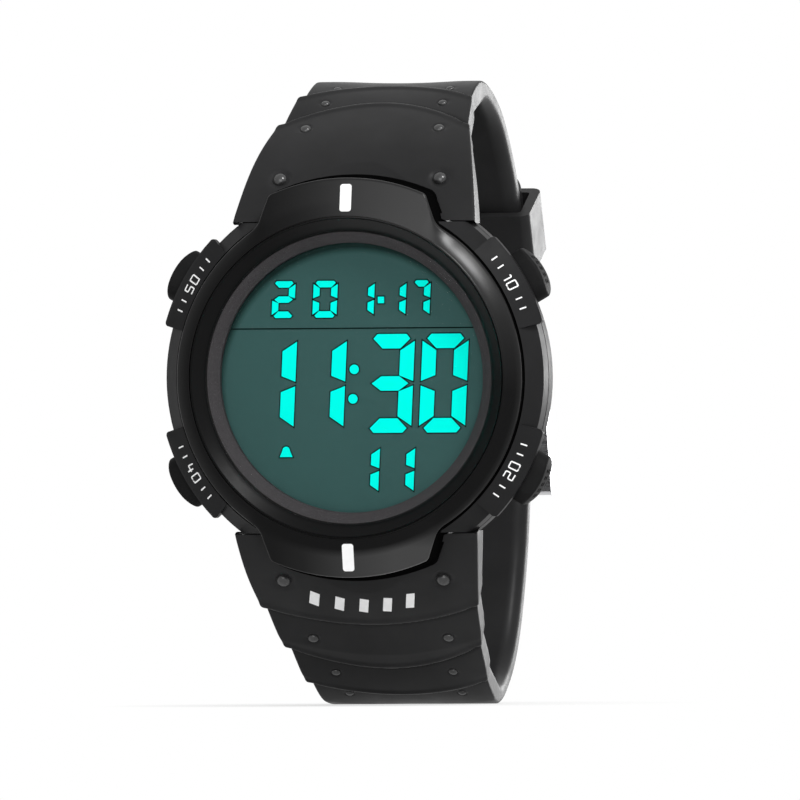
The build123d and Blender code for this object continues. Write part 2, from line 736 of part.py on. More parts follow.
# A bowed leaf between the battery's inner face and the board
with BuildPart() as battery_contact:
    with BuildSketch(Plane.YZ):
        with BuildLine():
            Polyline(
                (-board_height + clip_strip / 2, -contact_reach),
                (-board_height + clip_strip / 2, -contact_reach / 2),
                (-battery_top - clip_strip / 2, -contact_reach / 4),
                (-battery_top - clip_strip / 2, contact_reach / 4),
                (-board_height + clip_strip / 2, contact_reach / 2),
                (-board_height + clip_strip / 2, contact_reach),
            )
        trace(line_width=clip_strip)
    extrude(amount=clip_strip_width / 4, both=True)
save(battery_contact.part, "battery_contact")

with BuildPart() as module_spacer:
    with BuildSketch(front_plane(spacer_height)):
        Circle(frame_radius)
        Circle(battery_radius + battery_gap, mode=Mode.SUBTRACT)
    extrude(amount=board_height - spacer_height)
    with BuildSketch(front_plane(spacer_height)):
        Rectangle(2 * (clip_reach + fit_gap), clip_strip_width + 2 * fit_gap)
    extrude(amount=battery_height - spacer_height, mode=Mode.SUBTRACT)
    with BuildSketch(front_plane(spacer_height)):
        with Locations((0, -buzzer_offset)):
            Circle(buzzer_radius + fit_gap)
    extrude(amount=buzzer_thickness + fit_gap, mode=Mode.SUBTRACT)
    with BuildSketch(front_plane(spacer_height)):
        with Locations((0, -buzzer_offset)):
            Circle(buzzer_coil_radius + buzzer_wire + 2 * fit_gap)
    extrude(amount=board_height - spacer_height, mode=Mode.SUBTRACT)
save(module_spacer.part, "module_spacer")

with BuildPart() as buzzer_disc:
    with BuildSketch(front_plane(back_thickness)):
        with Locations((0, -buzzer_offset)):
            Circle(buzzer_radius)
    extrude(amount=buzzer_thickness)
save(buzzer_disc.part, "buzzer_disc")


def coil_path(plane, radius, wire, length, turns):
    # an open coil along the plane's normal, each half turn an arc through three of its points
    rise = (length - 2 * wire) / (2 * turns)
    for half in range(2 * turns):
        low = wire + half * rise
        side = 1 if half % 2 == 0 else -1
        start = plane.from_local_coords(Vector(side * radius, 0, low))
        middle = plane.from_local_coords(Vector(0, side * radius, low + rise / 2))
        end = plane.from_local_coords(Vector(-side * radius, 0, low + rise))
        ThreePointArc(start, middle, end)


buzzer_coil = Plane(origin=(0, -back_thickness - buzzer_thickness, -buzzer_offset), z_dir=(0, -1, 0))
with BuildPart() as buzzer_spring:
    with BuildLine() as buzzer_line:
        coil_path(buzzer_coil, buzzer_coil_radius, buzzer_wire,
                  board_height - back_thickness - buzzer_thickness, buzzer_turns)
    with BuildSketch(Plane(origin=buzzer_line.line @ 0, z_dir=buzzer_line.line % 0)):
        Circle(buzzer_wire)
    sweep(path=buzzer_line.line)
save(buzzer_spring.part, "buzzer_spring")

# Bent leaves that stand on the board's edge, one in front of each pusher
with BuildPart() as switch_contacts:
    for angle in pusher_angles:
        with BuildSketch(outward_plane(angle, contact_radius - contact_thickness, pusher_height)):
            Rectangle(contact_width, 2 * (pusher_height - board_top))
        extrude(amount=contact_thickness)
        with BuildSketch(outward_plane(angle, contact_radius - contact_foot, pusher_height)):
            with Locations((0, board_top + contact_thickness / 2 - pusher_height)):
                Rectangle(contact_width, contact_thickness)
        extrude(amount=contact_foot)
save(switch_contacts.part, "switch_contacts")

with BuildPart() as case_back:
    with BuildSketch(front_plane(back_pad_rise)):
        Circle(back_radius)
        with PolarLocations(screw_offset, 4, start_angle=45):
            Circle(screw_tab_radius)
    extrude(amount=back_thickness - back_pad_rise)
    with BuildSketch(front_plane(0)):
        Circle(back_pad_radius)
    extrude(amount=back_pad_rise)
    chamfer(case_back.edges().group_by(Axis.Y)[-1], back_pad_edge)
    with BuildSketch(front_plane(back_pad_rise)):
        with PolarLocations(screw_offset, 4, start_angle=45):
            Circle(screw_radius + fit_gap)
    extrude(amount=back_thickness, mode=Mode.SUBTRACT)
save(case_back.part, "case_back")

with BuildPart() as case_back_gasket:
    with BuildSketch(turning_plane()):
        with Locations((gasket_radius, back_thickness + gasket_wire)):
            Circle(gasket_wire)
    revolve(axis=Axis.Y)
save(case_back_gasket.part, "case_back_gasket")

# Pan-head screws with a cross recess; their heads stay above the back's pad
with BuildPart() as case_back_screws:
    with BuildSketch(front_plane(back_pad_rise - screw_head_height)):
        with PolarLocations(screw_offset, 4, start_angle=45):
            Circle(screw_head_radius)
    extrude(amount=screw_head_height)
    with BuildSketch(front_plane(back_pad_rise)):
        with PolarLocations(screw_offset, 4, start_angle=45):
            Circle(screw_radius - running_gap)
    extrude(amount=screw_length)
    with BuildSketch(front_plane(back_pad_rise - screw_head_height)):
        with PolarLocations(screw_offset, 4, start_angle=45):
            Rectangle(screw_head_radius, screw_slot)
            Rectangle(screw_slot, screw_head_radius)
    extrude(amount=screw_head_height / 2, mode=Mode.SUBTRACT)
save(case_back_screws.part, "case_back_screws")


def pusher_name(angle):
    # named by the hour that the pusher points to
    hour = round(3 - angle / 30) % 12
    return "at_" + str(hour)


clip_place = (cavity_radius**2 - circlip_radius**2) ** 0.5 - fit_gap - circlip_thickness

# Pushers: an oval cap with a pitted end, on a shaft that a circlip holds in
for angle in pusher_angles:
    with BuildPart() as pusher:
        with BuildSketch(outward_plane(angle, case_radius, pusher_height)):
            SlotOverall(cap_width, cap_height)
        extrude(amount=cap_end_radius - case_radius)
        outwards = (cos(radians(angle)), 0, sin(radians(angle)))
        bow_centre_radius = cap_end_radius - cap_bow_radius
        with BuildSketch(front_plane(pusher_height - cap_height)):
            with Locations((bow_centre_radius * outwards[0], bow_centre_radius * outwards[2])):
                Circle(cap_bow_radius)
        extrude(amount=2 * cap_height, mode=Mode.INTERSECT)
        fillet(pusher.faces().sort_by(Axis((0, 0, 0), outwards))[-1].edges(), cap_edge)
        with BuildSketch(outward_plane(angle, cap_end_radius - dimple_floor, pusher_height)):
            with GridLocations(dimple_pitch, dimple_pitch, dimple_columns, dimple_rows):
                Circle(dimple_radius)
        extrude(amount=dimple_floor, mode=Mode.SUBTRACT)
        with BuildSketch(outward_plane(angle, tip_radius, pusher_height)):
            Circle(shaft_radius)
        extrude(amount=case_radius - tip_radius)
        with BuildSketch(outward_plane(angle, clip_place, pusher_height)):
            Circle(shaft_radius)
            Circle(circlip_groove, mode=Mode.SUBTRACT)
        extrude(amount=circlip_thickness, mode=Mode.SUBTRACT)
    save(pusher.part, "pusher_" + pusher_name(angle))

    with BuildPart() as circlip:
        with BuildSketch(outward_plane(angle, clip_place, pusher_height)):
            Circle(circlip_radius)
            Circle(circlip_groove, mode=Mode.SUBTRACT)
            with Locations((0, circlip_radius)):
                Rectangle(circlip_groove, 2 * circlip_radius, mode=Mode.SUBTRACT)
        extrude(amount=circlip_thickness)
    save(circlip.part, "circlip_" + pusher_name(angle))

    coil_plane = outward_plane(angle, spring_floor, pusher_height)
    with BuildPart() as pusher_spring:
        with BuildLine() as spring_line:
            coil_path(coil_plane, spring_coil_radius, spring_wire,
                      case_radius - spring_floor, spring_turns)
        with BuildSketch(Plane(origin=spring_line.line @ 0, z_dir=spring_line.line % 0)):
            Circle(spring_wire)
        sweep(path=spring_line.line)
    save(pusher_spring.part, "pusher_spring_" + pusher_name(angle))

with BuildPart() as pusher_seals:
    for angle in pusher_angles:
        with Locations(outward_plane(angle, seal_centre, pusher_height)):
            Torus(shaft_radius + seal_wire + seal_gap, seal_wire)
save(pusher_seals.part, "pusher_seals")


# Strap: its side view is drawn as (depth below the bezel's top, height), then turned into (Y, Z)
def side_point(depth, offset):
    return Vector(depth - case_depth, offset)


def loop_point(share, side):
    reach = loop_top if side > 0 else loop_bottom
    offset = root_offset + share[0] * (reach - root_offset)
    return side_point(root_depth + share[1] * (loop_depth - root_depth), side * offset)


def share_at(table, share):
    # a straight line between the two nearest entries
    for (low, first), (high, second) in zip(table, table[1:]):
        if share <= high:
            return first + (second - first) * (share - low) / (high - low)
    return table[-1][1]


def outward_normals(points, side):
    # square to the line through each point's neighbours, away from the wrist
    normals = []
    for index in range(len(points)):
        ahead = points[min(index + 1, len(points) - 1)]
        behind = points[max(index - 1, 0)]
        along = (ahead - behind).normalized()
        normals.append(Vector(-along.Y, along.X) * side)
    return normals


def strap_thickness(point):
    share = (point.X + case_depth - root_depth) / (loop_depth - root_depth)
    return rear_thickness + (root_thickness - rear_thickness) * share_at(thickness_shares, share)


def plated_edge(points, normals, steps):
    # the outer surface: one smooth curve for each plate, with a drop to the next one
    start = [points[0]]
    for point, normal in zip(points[1:], normals[1:]):
        start.append(point)
        if any((point - step).length < fit_gap for step in steps):
            Spline(*start)
            low = point - normal * plate_step
            Line(point, low)
            start = [low]
    Spline(*start)


def width_outline(shares, rear_half):
    # half the strap from above: its half width at each depth, as a smooth curve
    sides = []
    for depth_share, width_share in shares:
        depth = root_depth + depth_share * (loop_depth - root_depth)
        sides.append((rear_half + width_share * (root_half_width - rear_half), depth - case_depth))
    rear_end = loop_depth + root_depth + buckle_reach
    for mirrored in (1, -1):
        corners = [(mirrored * x, y) for x, y in sides]
        with BuildLine() as half:
            Line((0, -case_depth), (corners[0][0], -case_depth))
            Line((corners[0][0], -case_depth), corners[0])
            Spline(*corners)
            Line(corners[-1], (corners[-1][0], rear_end))
            Line((corners[-1][0], rear_end), (0, rear_end))
            Line((0, rear_end), (0, -case_depth))
        make_face(half.line)


pivot_depth = root_depth + pivot_depth_share * (loop_depth - root_depth)
pivot = side_point(pivot_depth, pivot_offset)
knuckle_top = side_point(pivot_depth + knuckle_radius, pivot_offset)
bar_half_length = root_half_width - bar_end_gap

upper_points = [side_point(root_depth, root_offset)]
upper_points += [loop_point(share, 1) for share in upper_shares + inner_layer_shares]
upper_points.append(knuckle_top)
upper_normals = outward_normals(upper_points, 1)
upper_steps = [loop_point(share, 1) for share in upper_step_shares]

# the outer layer lies on the inner one from the pivot up to its own tip
tail_lift = layer_gap + tail_thickness
first_layered = len(upper_shares) - 1
tail_points = [p + n * tail_lift for p, n in zip(upper_points, upper_normals)][first_layered:-1]
tail_points.append(side_point(pivot_depth + knuckle_radius + tail_lift, pivot_offset))
under_bar = side_point(root_depth + under_bar_share * (loop_depth - root_depth), pivot_offset - buckle_reach)

lower_points = [side_point(root_depth, -root_offset)]
lower_points += [loop_point(share, -1) for share in lower_shares]
lower_points.append(under_bar)
lower_points += tail_points[::-1]
lower_normals = outward_normals(lower_points, -1)
lower_steps = [loop_point(share, -1) for share in lower_step_shares]
far_bar = under_bar + lower_normals[len(lower_shares) + 1] * (far_bar_radius + layer_gap)


def strap_face(points, normals, steps, thicknesses, side):
    # the root's end is upright, so its inner corner lies straight behind the outer one
    root_drop = root_thickness / cos(atan2((points[1] - points[0]).X, (points[1] - points[0]).Y * side))
    inner = [points[0] + Vector(root_drop, 0)]
    inner += [p - n * t for p, n, t in zip(points[1:], normals[1:], thicknesses[1:])]
    with BuildLine() as outline:
        plated_edge(points, normals, steps)
        Line(points[-1], inner[-1])
        Spline(*inner)
        Line(inner[0], points[0])
    make_face(outline.line)


def strap_holes(points, bar_point, past_bar):
    # the plane of each hole, counted along the outer surface from the hole that the tongue uses,
    # which lies this far past the far bar
    surface = Spline(*[(0, p.X, p.Y) for p in points])
    start = surface.param_at_point((0, bar_point.X, bar_point.Y)) + past_bar / surface.length
    planes = []
    for count in range(-holes_below, holes_above + 1):
        share = start + count * hole_pitch / surface.length
        along = surface % share
        planes.append(Plane(origin=surface @ share, x_dir=(1, 0, 0), z_dir=along.cross(Vector(1, 0, 0))))
    return planes


upper_thicknesses = [strap_thickness(point) for point in upper_points]
upper_thicknesses[-1] = 2 * knuckle_radius
lower_thicknesses = [strap_thickness(point) for point in lower_points]
for layered in range(len(lower_shares) + 1, len(lower_points)):
    lower_thicknesses[layered] = tail_thickness

# Upper strap: from the lug at 12 o'clock over the wrist to the buckle's pivot bar
with BuildPart() as upper_strap:
    with BuildSketch(Plane.YZ):
        strap_face(upper_points, upper_normals, upper_steps, upper_thicknesses, 1)
        with Locations(pivot):
            Circle(knuckle_radius)
    extrude(amount=root_half_width, both=True)
    with BuildSketch(Plane.XY):
        width_outline(upper_width_shares, rear_half_width)
    extrude(amount=loop_top + root_offset, both=True, mode=Mode.INTERSECT)
    for height, depth, across in upper_bump_shares:
        place = loop_point((height, depth), 1)
        for x in (across * root_half_width, -across * root_half_width):
            with Locations((x, place.X, place.Y)):
                Sphere(bump_radius)
    with BuildSketch(front_plane(-root_thickness)):
        make_face(ear_outline(ear_gap, 1))
    extrude(amount=case_depth + root_thickness, mode=Mode.SUBTRACT)
    with BuildSketch(Plane.YZ):
        with Locations((-bar_height, bar_offset)):
            Circle(bar_radius + running_gap)
    extrude(amount=bar_half_length + fit_gap, both=True, mode=Mode.SUBTRACT)
    with BuildSketch(Plane.YZ):
        with Locations(pivot):
            Circle(bar_radius + running_gap)
    extrude(amount=rear_half_width + overrun, both=True, mode=Mode.SUBTRACT)
    with BuildSketch(Plane.YZ):
        with Locations(pivot):
            Circle(tongue_ring + tongue_slot_gap)
    extrude(amount=tongue_width / 2 + tongue_slot_gap, both=True, mode=Mode.SUBTRACT)
save(upper_strap.part, "upper_strap")

# Lower strap: round under the wrist, through the buckle, and on over the upper strap
hole_planes = strap_holes(lower_points, under_bar, (1 - tongue_hole_share) * buckle_reach)
with BuildPart() as lower_strap:
    with BuildSketch(Plane.YZ):
        strap_face(lower_points, lower_normals, lower_steps, lower_thicknesses, -1)
    extrude(amount=root_half_width, both=True)
    with BuildSketch(Plane.XY):
        width_outline(lower_width_shares, tail_half_width)
    extrude(amount=loop_bottom + root_offset, both=True, mode=Mode.INTERSECT)
    for height, depth, across in lower_bump_shares:
        place = loop_point((height, depth), -1)
        for x in (across * root_half_width, -across * root_half_width):
            with Locations((x, place.X, place.Y)):
                Sphere(bump_radius)
    with BuildSketch(front_plane(-root_thickness)):
        make_face(ear_outline(ear_gap, -1))
    extrude(amount=case_depth + root_thickness, mode=Mode.SUBTRACT)
    with BuildSketch(Plane.YZ):
        with Locations((-bar_height, -bar_offset)):
            Circle(bar_radius + running_gap)
    extrude(amount=bar_half_length + fit_gap, both=True, mode=Mode.SUBTRACT)
    for plane in hole_planes:
        with BuildSketch(plane):
            SlotOverall(hole_length, hole_width, rotation=90)
        extrude(amount=2 * tail_thickness, both=True, mode=Mode.SUBTRACT)
save(lower_strap.part, "lower_strap")

for side, name in ((1, "upper_spring_bar"), (-1, "lower_spring_bar")):
    with BuildPart() as spring_bar:
        with BuildSketch(Plane.YZ):
            with Locations((-bar_height, side * bar_offset)):
                Circle(bar_radius)
        extrude(amount=bar_half_length - bar_pin_length, both=True)
        with BuildSketch(Plane.YZ):
            with Locations((-bar_height, side * bar_offset)):
                Circle(bar_pin_radius)
        extrude(amount=bar_half_length, both=True)
    save(spring_bar.part, name)

arm_inner = rear_half_width + arm_gap
with BuildPart() as buckle_frame:
    for x in (arm_inner, -arm_inner - arm_thickness):
        with BuildSketch(Plane.YZ.offset(x)):
            with Locations(pivot):
                Circle(arm_end_radius)
            with Locations(far_bar):
                Circle(far_bar_radius)
            make_hull()
        extrude(amount=arm_thickness)
    with BuildSketch(Plane.YZ):
        with Locations(far_bar):
            Circle(far_bar_radius)
    extrude(amount=arm_inner + arm_thickness / 2, both=True)
    with BuildSketch(Plane.YZ):
        with Locations(pivot):
            Circle(bar_pin_radius + running_gap)
    extrude(amount=arm_inner + arm_thickness + overrun, both=True, mode=Mode.SUBTRACT)
save(buckle_frame.part, "buckle_frame")

# The tongue starts under the outer layer, comes up through its hole and lies on the far bar
rest_depth = far_bar.X + far_bar_radius + tongue_rest_gap + tongue_thickness / 2
tongue_line = [
    Vector(pivot.X + rise * (rest_depth - pivot.X), pivot.Y - reach * buckle_reach)
    for reach, rise in tongue_shares
]
with BuildPart() as buckle_tongue:
    with BuildSketch(Plane.YZ):
        with BuildLine():
            Polyline(*tongue_line)
        trace(line_width=tongue_thickness)
        with Locations(pivot):
            Circle(tongue_ring)
        with Locations(pivot):
            Circle(bar_radius + running_gap, mode=Mode.SUBTRACT)
    extrude(amount=tongue_width / 2, both=True)
save(buckle_tongue.part, "buckle_tongue")

with BuildPart() as buckle_spring_bar:
    with BuildSketch(Plane.YZ):
        with Locations(pivot):
            Circle(bar_radius)
    extrude(amount=arm_inner - fit_gap, both=True)
    with BuildSketch(Plane.YZ):
        with Locations(pivot):
            Circle(bar_pin_radius)
    extrude(amount=arm_inner + arm_thickness - fit_gap, both=True)
save(buckle_spring_bar.part, "buckle_spring_bar")

# Keeper: a band round both layers of the strap
keeper_index = 1 + len(upper_shares)
keeper_point = upper_points[keeper_index]
keeper_normal = upper_normals[keeper_index]
keeper_middle = keeper_point + keeper_normal * ((tail_lift - rear_thickness) / 2)
keeper_along = Vector(0, keeper_normal.Y, -keeper_normal.X)
keeper_centre = Vector(0, keeper_middle.X, keeper_middle.Y)
keeper_start = keeper_centre - keeper_along * (keeper_length / 2)
inner_width = 2 * (rear_half_width + keeper_gap)
inner_height = rear_thickness + tail_lift + 2 * keeper_gap
with BuildPart() as strap_keeper:
    with BuildSketch(Plane(origin=keeper_start, x_dir=(1, 0, 0), z_dir=keeper_along)):
        RectangleRounded(inner_width + 2 * keeper_wall, inner_height + 2 * keeper_wall, keeper_wall)
        RectangleRounded(inner_width, inner_height, keeper_edge, mode=Mode.SUBTRACT)
    extrude(amount=keeper_length)
save(strap_keeper.part, "strap_keeper")
# places that the joints need
print("pivot", pivot, "far bar", far_bar, "keeper", keeper_centre, keeper_along)
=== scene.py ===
import json
import math

import bmesh
import bpy
import numpy as np
from mathutils import Matrix, Vector

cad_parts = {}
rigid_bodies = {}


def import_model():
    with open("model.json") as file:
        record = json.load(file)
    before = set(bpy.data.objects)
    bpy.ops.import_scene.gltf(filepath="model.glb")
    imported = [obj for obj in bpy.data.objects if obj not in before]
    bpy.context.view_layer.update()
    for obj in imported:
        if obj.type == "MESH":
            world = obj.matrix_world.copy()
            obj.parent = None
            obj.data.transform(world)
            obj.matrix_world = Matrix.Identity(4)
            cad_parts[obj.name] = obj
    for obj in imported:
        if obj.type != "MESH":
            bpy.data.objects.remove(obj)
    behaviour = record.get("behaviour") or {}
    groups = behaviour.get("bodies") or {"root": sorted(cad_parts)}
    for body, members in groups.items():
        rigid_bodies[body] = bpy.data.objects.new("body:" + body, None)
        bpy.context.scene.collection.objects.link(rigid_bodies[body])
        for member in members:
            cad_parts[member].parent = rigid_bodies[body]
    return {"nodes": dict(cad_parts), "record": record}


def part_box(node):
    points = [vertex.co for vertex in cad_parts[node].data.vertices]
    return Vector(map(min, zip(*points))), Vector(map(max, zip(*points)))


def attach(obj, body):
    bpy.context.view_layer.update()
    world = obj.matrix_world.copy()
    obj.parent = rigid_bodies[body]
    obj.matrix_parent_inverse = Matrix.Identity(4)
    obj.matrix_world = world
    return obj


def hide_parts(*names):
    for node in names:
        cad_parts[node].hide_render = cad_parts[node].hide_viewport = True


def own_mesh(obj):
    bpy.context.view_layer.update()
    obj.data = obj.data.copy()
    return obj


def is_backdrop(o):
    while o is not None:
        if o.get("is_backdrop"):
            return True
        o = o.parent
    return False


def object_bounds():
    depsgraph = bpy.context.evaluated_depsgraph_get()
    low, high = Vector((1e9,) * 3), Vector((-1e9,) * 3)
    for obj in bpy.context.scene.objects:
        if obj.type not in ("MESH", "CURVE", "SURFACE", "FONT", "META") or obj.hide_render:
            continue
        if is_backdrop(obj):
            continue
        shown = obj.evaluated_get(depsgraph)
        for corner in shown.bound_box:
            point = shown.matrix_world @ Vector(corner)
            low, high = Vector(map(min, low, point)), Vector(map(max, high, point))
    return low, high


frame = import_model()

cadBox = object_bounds()
mm = 0.001
weld = 0.0005 * mm        # corners nearer than this become one
nodes = frame["nodes"]


def addObject(name, data):
    # an object of this data, in the scene
    made = bpy.data.objects.new(name, data)
    bpy.context.scene.collection.objects.link(made)
    return made


def facing(place, way):
    # the matrix of a camera or a lamp at this place that looks this way
    return Matrix.Translation(place) @ way.to_track_quat("-Z", "Y").to_matrix().to_4x4()


# Camera

view = {"turn": 13.0, "roll": -0.4, "distance": 4.5, "lens": 1570.5, "sensor": 36, "nearest": 0.1, "furthest": 50,
        "right": 6.94 * mm, "down": 2.93 * mm, "plane": -14.5 * mm}


def addCamera():
    # turned about the dial's upright axis, far enough away for almost parallel lines of sight
    turn = math.radians(view["turn"])
    away = Vector((math.sin(turn), -math.cos(turn), 0))
    right = Vector((math.cos(turn), math.sin(turn), 0))
    aim = Vector((0, view["plane"], 0)) + right * view["right"] - Vector((0, 0, view["down"]))
    data = bpy.data.cameras.new("viewCamera")
    data.lens, data.sensor_width = view["lens"], view["sensor"]
    data.clip_start, data.clip_end = view["nearest"], view["furthest"]
    camera = addObject("viewCamera", data)
    roll = Matrix.Rotation(math.radians(view["roll"]), 4, "Z")
    camera.matrix_world = facing(aim + away * view["distance"], -away) @ roll
    bpy.context.scene.camera = camera


addCamera()

# Shader maths


class Wire:
    # a socket of a node tree; sums and products of wires add its Math nodes

    def __init__(self, finish, socket):
        self.finish = finish
        self.socket = socket

    def math(self, kind, left, right):
        return self.finish.node("ShaderNodeMath", {"operation": kind}, {0: left, 1: right})

    def __add__(self, other):
        return self.math("ADD", self, other)

    __radd__ = __add__

    def __sub__(self, other):
        return self.math("SUBTRACT", self, other)

    def __rsub__(self, other):
        return self.math("SUBTRACT", other, self)

    def __mul__(self, other):
        return self.math("MULTIPLY", self, other)

    __rmul__ = __mul__

    def __pow__(self, other):
        return self.math("POWER", self, other)


class NodeTree:
    # the nodes of a material or of the world

    def __init__(self, owner):
        owner.use_nodes = True
        self.tree = owner.node_tree

    def node(self, kind, settings=None, inputs=None, output=0):
        # any node: its settings first, then the values or links of its sockets
        node = self.tree.nodes.new(kind)
        for key, value in (settings or {}).items():
            setattr(node, key, value)
        for key, value in (inputs or {}).items():
            self.feed(node.inputs[key], value)
        return Wire(self, node.outputs[output])

    def feed(self, socket, value):
        # a wire is linked, anything else is the socket's own value
        if isinstance(value, Wire):
            self.tree.links.new(value.socket, socket)
        else:
            socket.default_value = value

    def span(self, value, low, high, start=0.0, end=1.0):
        # start to end, as the value goes from low to high
        return self.node("ShaderNodeMapRange", {}, {"Value": value, "From Min": low, "From Max": high,
                                                    "To Min": start, "To Max": end})


class Finish(NodeTree):
    # a material under construction

    def __init__(self, name):
        self.material = bpy.data.materials.new(name)
        super().__init__(self.material)
        self.shader = self.tree.nodes["Principled BSDF"]
        self.place = self.node("ShaderNodeTexCoord", output="Object")

    def set(self, **values):
        # sockets of the main shader, by their names without spaces
        for key, value in values.items():
            for socket in self.shader.inputs:
                if socket.name.replace(" ", "") == key:
                    self.feed(socket, value)

    def axes(self):
        # the place in millimetres along X, Y and Z
        parts = self.node("ShaderNodeSeparateXYZ", {}, {0: self.place}).socket.node.outputs
        return [Wire(self, part) * 1000.0 for part in parts]

    def noise(self, scale, detail=2.0, roughness=0.5):
        # scale in cycles per metre
        return self.node("ShaderNodeTexNoise", {}, {"Vector": self.place, "Scale": scale, "Detail": detail,
                                                    "Roughness": roughness})

    def mix(self, amount, first, second):
        # from one colour or wire to the other
        values = [value if isinstance(value, Wire) else (*value, 1) for value in (first, second)]
        return self.node("ShaderNodeMix", {"data_type": "RGBA"}, {"Factor": amount, "A": values[0],
                                                                  "B": values[1]}, output=2)

    def bump(self, height, strength, distance):
        return self.node("ShaderNodeBump", {}, {"Height": height, "Strength": strength, "Distance": distance})


def lengthOf(first, second):
    # of an arrow with these two parts
    return (first * first + second * second) ** 0.5


def resinFinish(name, tone, roughness, gloss, grainDepth=0.008):
    # moulded resin: a fine even grain, faint mottling, and handling marks that shift its sheen
    finish = Finish(name)
    mottle = finish.span(finish.noise(140, 3), 0.3, 0.7)
    grain = finish.noise(5200, 2, 0.6)
    wear = finish.noise(420, 4, 0.62)
    dark, light = [tuple(channel * change for channel in tone) for change in (0.86, 1.12)]
    finish.set(BaseColor=finish.mix(mottle, dark, light), SpecularIORLevel=gloss,
               Roughness=finish.span(wear, 0.3, 0.7, roughness - 0.03, roughness + 0.05),
               Normal=finish.bump(grain, 0.3, grainDepth * mm))
    return finish.material


def plainFinish(name, colour, roughness, metallic=0.0, scale=900, drift=0.12, gloss=0.5):
    # one colour that drifts darker by a share, its roughness and a faint relief drifting with it
    finish = Finish(name)
    cloud = finish.noise(scale, 3)
    darker = tuple(channel * (1 - drift) for channel in colour)
    finish.set(BaseColor=finish.mix(cloud, darker, colour), Metallic=metallic, SpecularIORLevel=gloss,
               Roughness=finish.span(cloud, 0.3, 0.7, roughness * 0.88, roughness * 1.12),
               Normal=finish.bump(cloud, 0.2, 0.004 * mm))
    return finish.material


def brushedSteel(name):
    # noise stretched along X: fine lines in its tone, roughness and relief
    finish = Finish(name)
    stretched = finish.node("ShaderNodeMapping", {}, {"Vector": finish.place, "Scale": (300, 9000, 9000)})
    lines = finish.node("ShaderNodeTexNoise", {}, {"Vector": stretched, "Scale": 1.0, "Detail": 3.0})
    finish.set(BaseColor=finish.mix(lines, (0.50, 0.50, 0.51), (0.66, 0.66, 0.67)), Metallic=1.0,
               Roughness=finish.span(lines, 0.3, 0.7, 0.22, 0.38), Normal=finish.bump(lines, 0.25, 0.004 * mm))
    return finish.material


def crystalFinish():
    # a clear flat pane: nearly all see-through, with the sheen of glass where it is seen aslant
    finish = Finish("crystalClear")
    aslant = finish.node("ShaderNodeLayerWeight", {}, {"Blend": 0.5}, output=1) ** 3.0
    smear = finish.noise(160, 2)
    finish.set(BaseColor=finish.mix(smear, (0.02, 0.022, 0.022), (0.025, 0.028, 0.028)),
               Roughness=finish.span(smear, 0.3, 0.7, 0.03, 0.06), Alpha=finish.span(aslant, 0.0, 1.0, 0.004, 0.6))
    return finish.material


display = {"teal": (0.0365, 0.0925, 0.088), "shade": (0.005, 0.020, 0.018), "shadeCentre": (0.35, -1.1),
           "shadeFrom": 17.0, "shadeTo": 18.0, "cyan": (0.0, 0.91, 0.77)}


def displayFinish():
    # teal polariser; a painted shadow of the mask ring lies along the window's upper left edge as a soft dark band, by
    # the distance from a point a little below and right of the dial's centre
    finish = Finish("displayTeal")
    x, y, z = finish.axes()
    right, up = x - display["shadeCentre"][0], z - display["shadeCentre"][1]
    # painted shadow: how far into the dark band each point lies
    shade = finish.span(lengthOf(right, up), display["shadeFrom"], display["shadeTo"]) ** 1.3
    cloud = finish.noise(2500, 2)
    teal = finish.mix(finish.span(cloud, 0.3, 0.7), tuple(c * 0.97 for c in display["teal"]), display["teal"])
    finish.set(BaseColor=finish.mix(shade, teal, display["shade"]), Roughness=0.4, SpecularIORLevel=0.05,
               Normal=finish.bump(cloud, 0.1, 0.002 * mm))
    return finish.material


def bezelFinish():
    # satin black; a painted sheen: a clear coat on the ears and the ring's upper right where the light falls, stronger
    # towards the right, but not on the lower ear's right half
    finish = Finish("bezelSatin")
    x, y, z = finish.axes()
    ears = finish.span(lengthOf(x, z), 22.2, 23.2)
    upperRight = finish.span(x * 0.5 + z * 0.87, 9.0, 20.0)
    side = finish.span(x, -10.0, 0.0, 0.06, 0.42)
    lowerRight = finish.span(z, -22.0, -20.0, 0.8, 0.0) * finish.span(x, -6.0, 6.0)
    # painted sheen: the coat's weight by place, lighting one side
    paintedSheen = (ears + upperRight - ears * upperRight) * side + ears * lowerRight
    wear = finish.noise(420, 4, 0.62)
    grain = finish.noise(5200, 2, 0.6)
    finish.set(BaseColor=finish.mix(finish.noise(140, 3), (0.0034, 0.0034, 0.0035), (0.0046, 0.0046, 0.0048)),
               Roughness=finish.span(wear, 0.3, 0.7, 0.32, 0.38), SpecularIORLevel=0.07,
               CoatWeight=paintedSheen, CoatRoughness=0.28, Normal=finish.bump(grain, 0.3, 0.003 * mm))
    return finish.material


def segmentFinish():
    # matt cyan that drifts a little darker, with a painted glow, a trace of light of its own
    finish = Finish("segmentCyan")
    cloud = finish.noise(1500, 2)
    tone = finish.mix(cloud, tuple(c * 0.95 for c in display["cyan"]), display["cyan"])
    finish.set(BaseColor=tone, Roughness=0.6, SpecularIORLevel=0.01, EmissionColor=tone, EmissionStrength=0.12)
    return finish.material


def maskFinish():
    # grained grey print on the sloping ring, with a black line at its outer edge
    finish = Finish("maskPrint")
    x, y, z = finish.axes()
    grain = finish.span(finish.noise(8500, 2, 0.6), 0.35, 0.65)
    grey = finish.mix(grain, (0.034, 0.032, 0.034), (0.064, 0.060, 0.063))
    rim = finish.span(lengthOf(x, z), 18.78, 18.86)
    finish.set(BaseColor=finish.mix(rim, grey, (0.002, 0.002, 0.002)), Roughness=0.6, SpecularIORLevel=0.12,
               Normal=finish.bump(grain, 0.3, 0.006 * mm))
    return finish.material


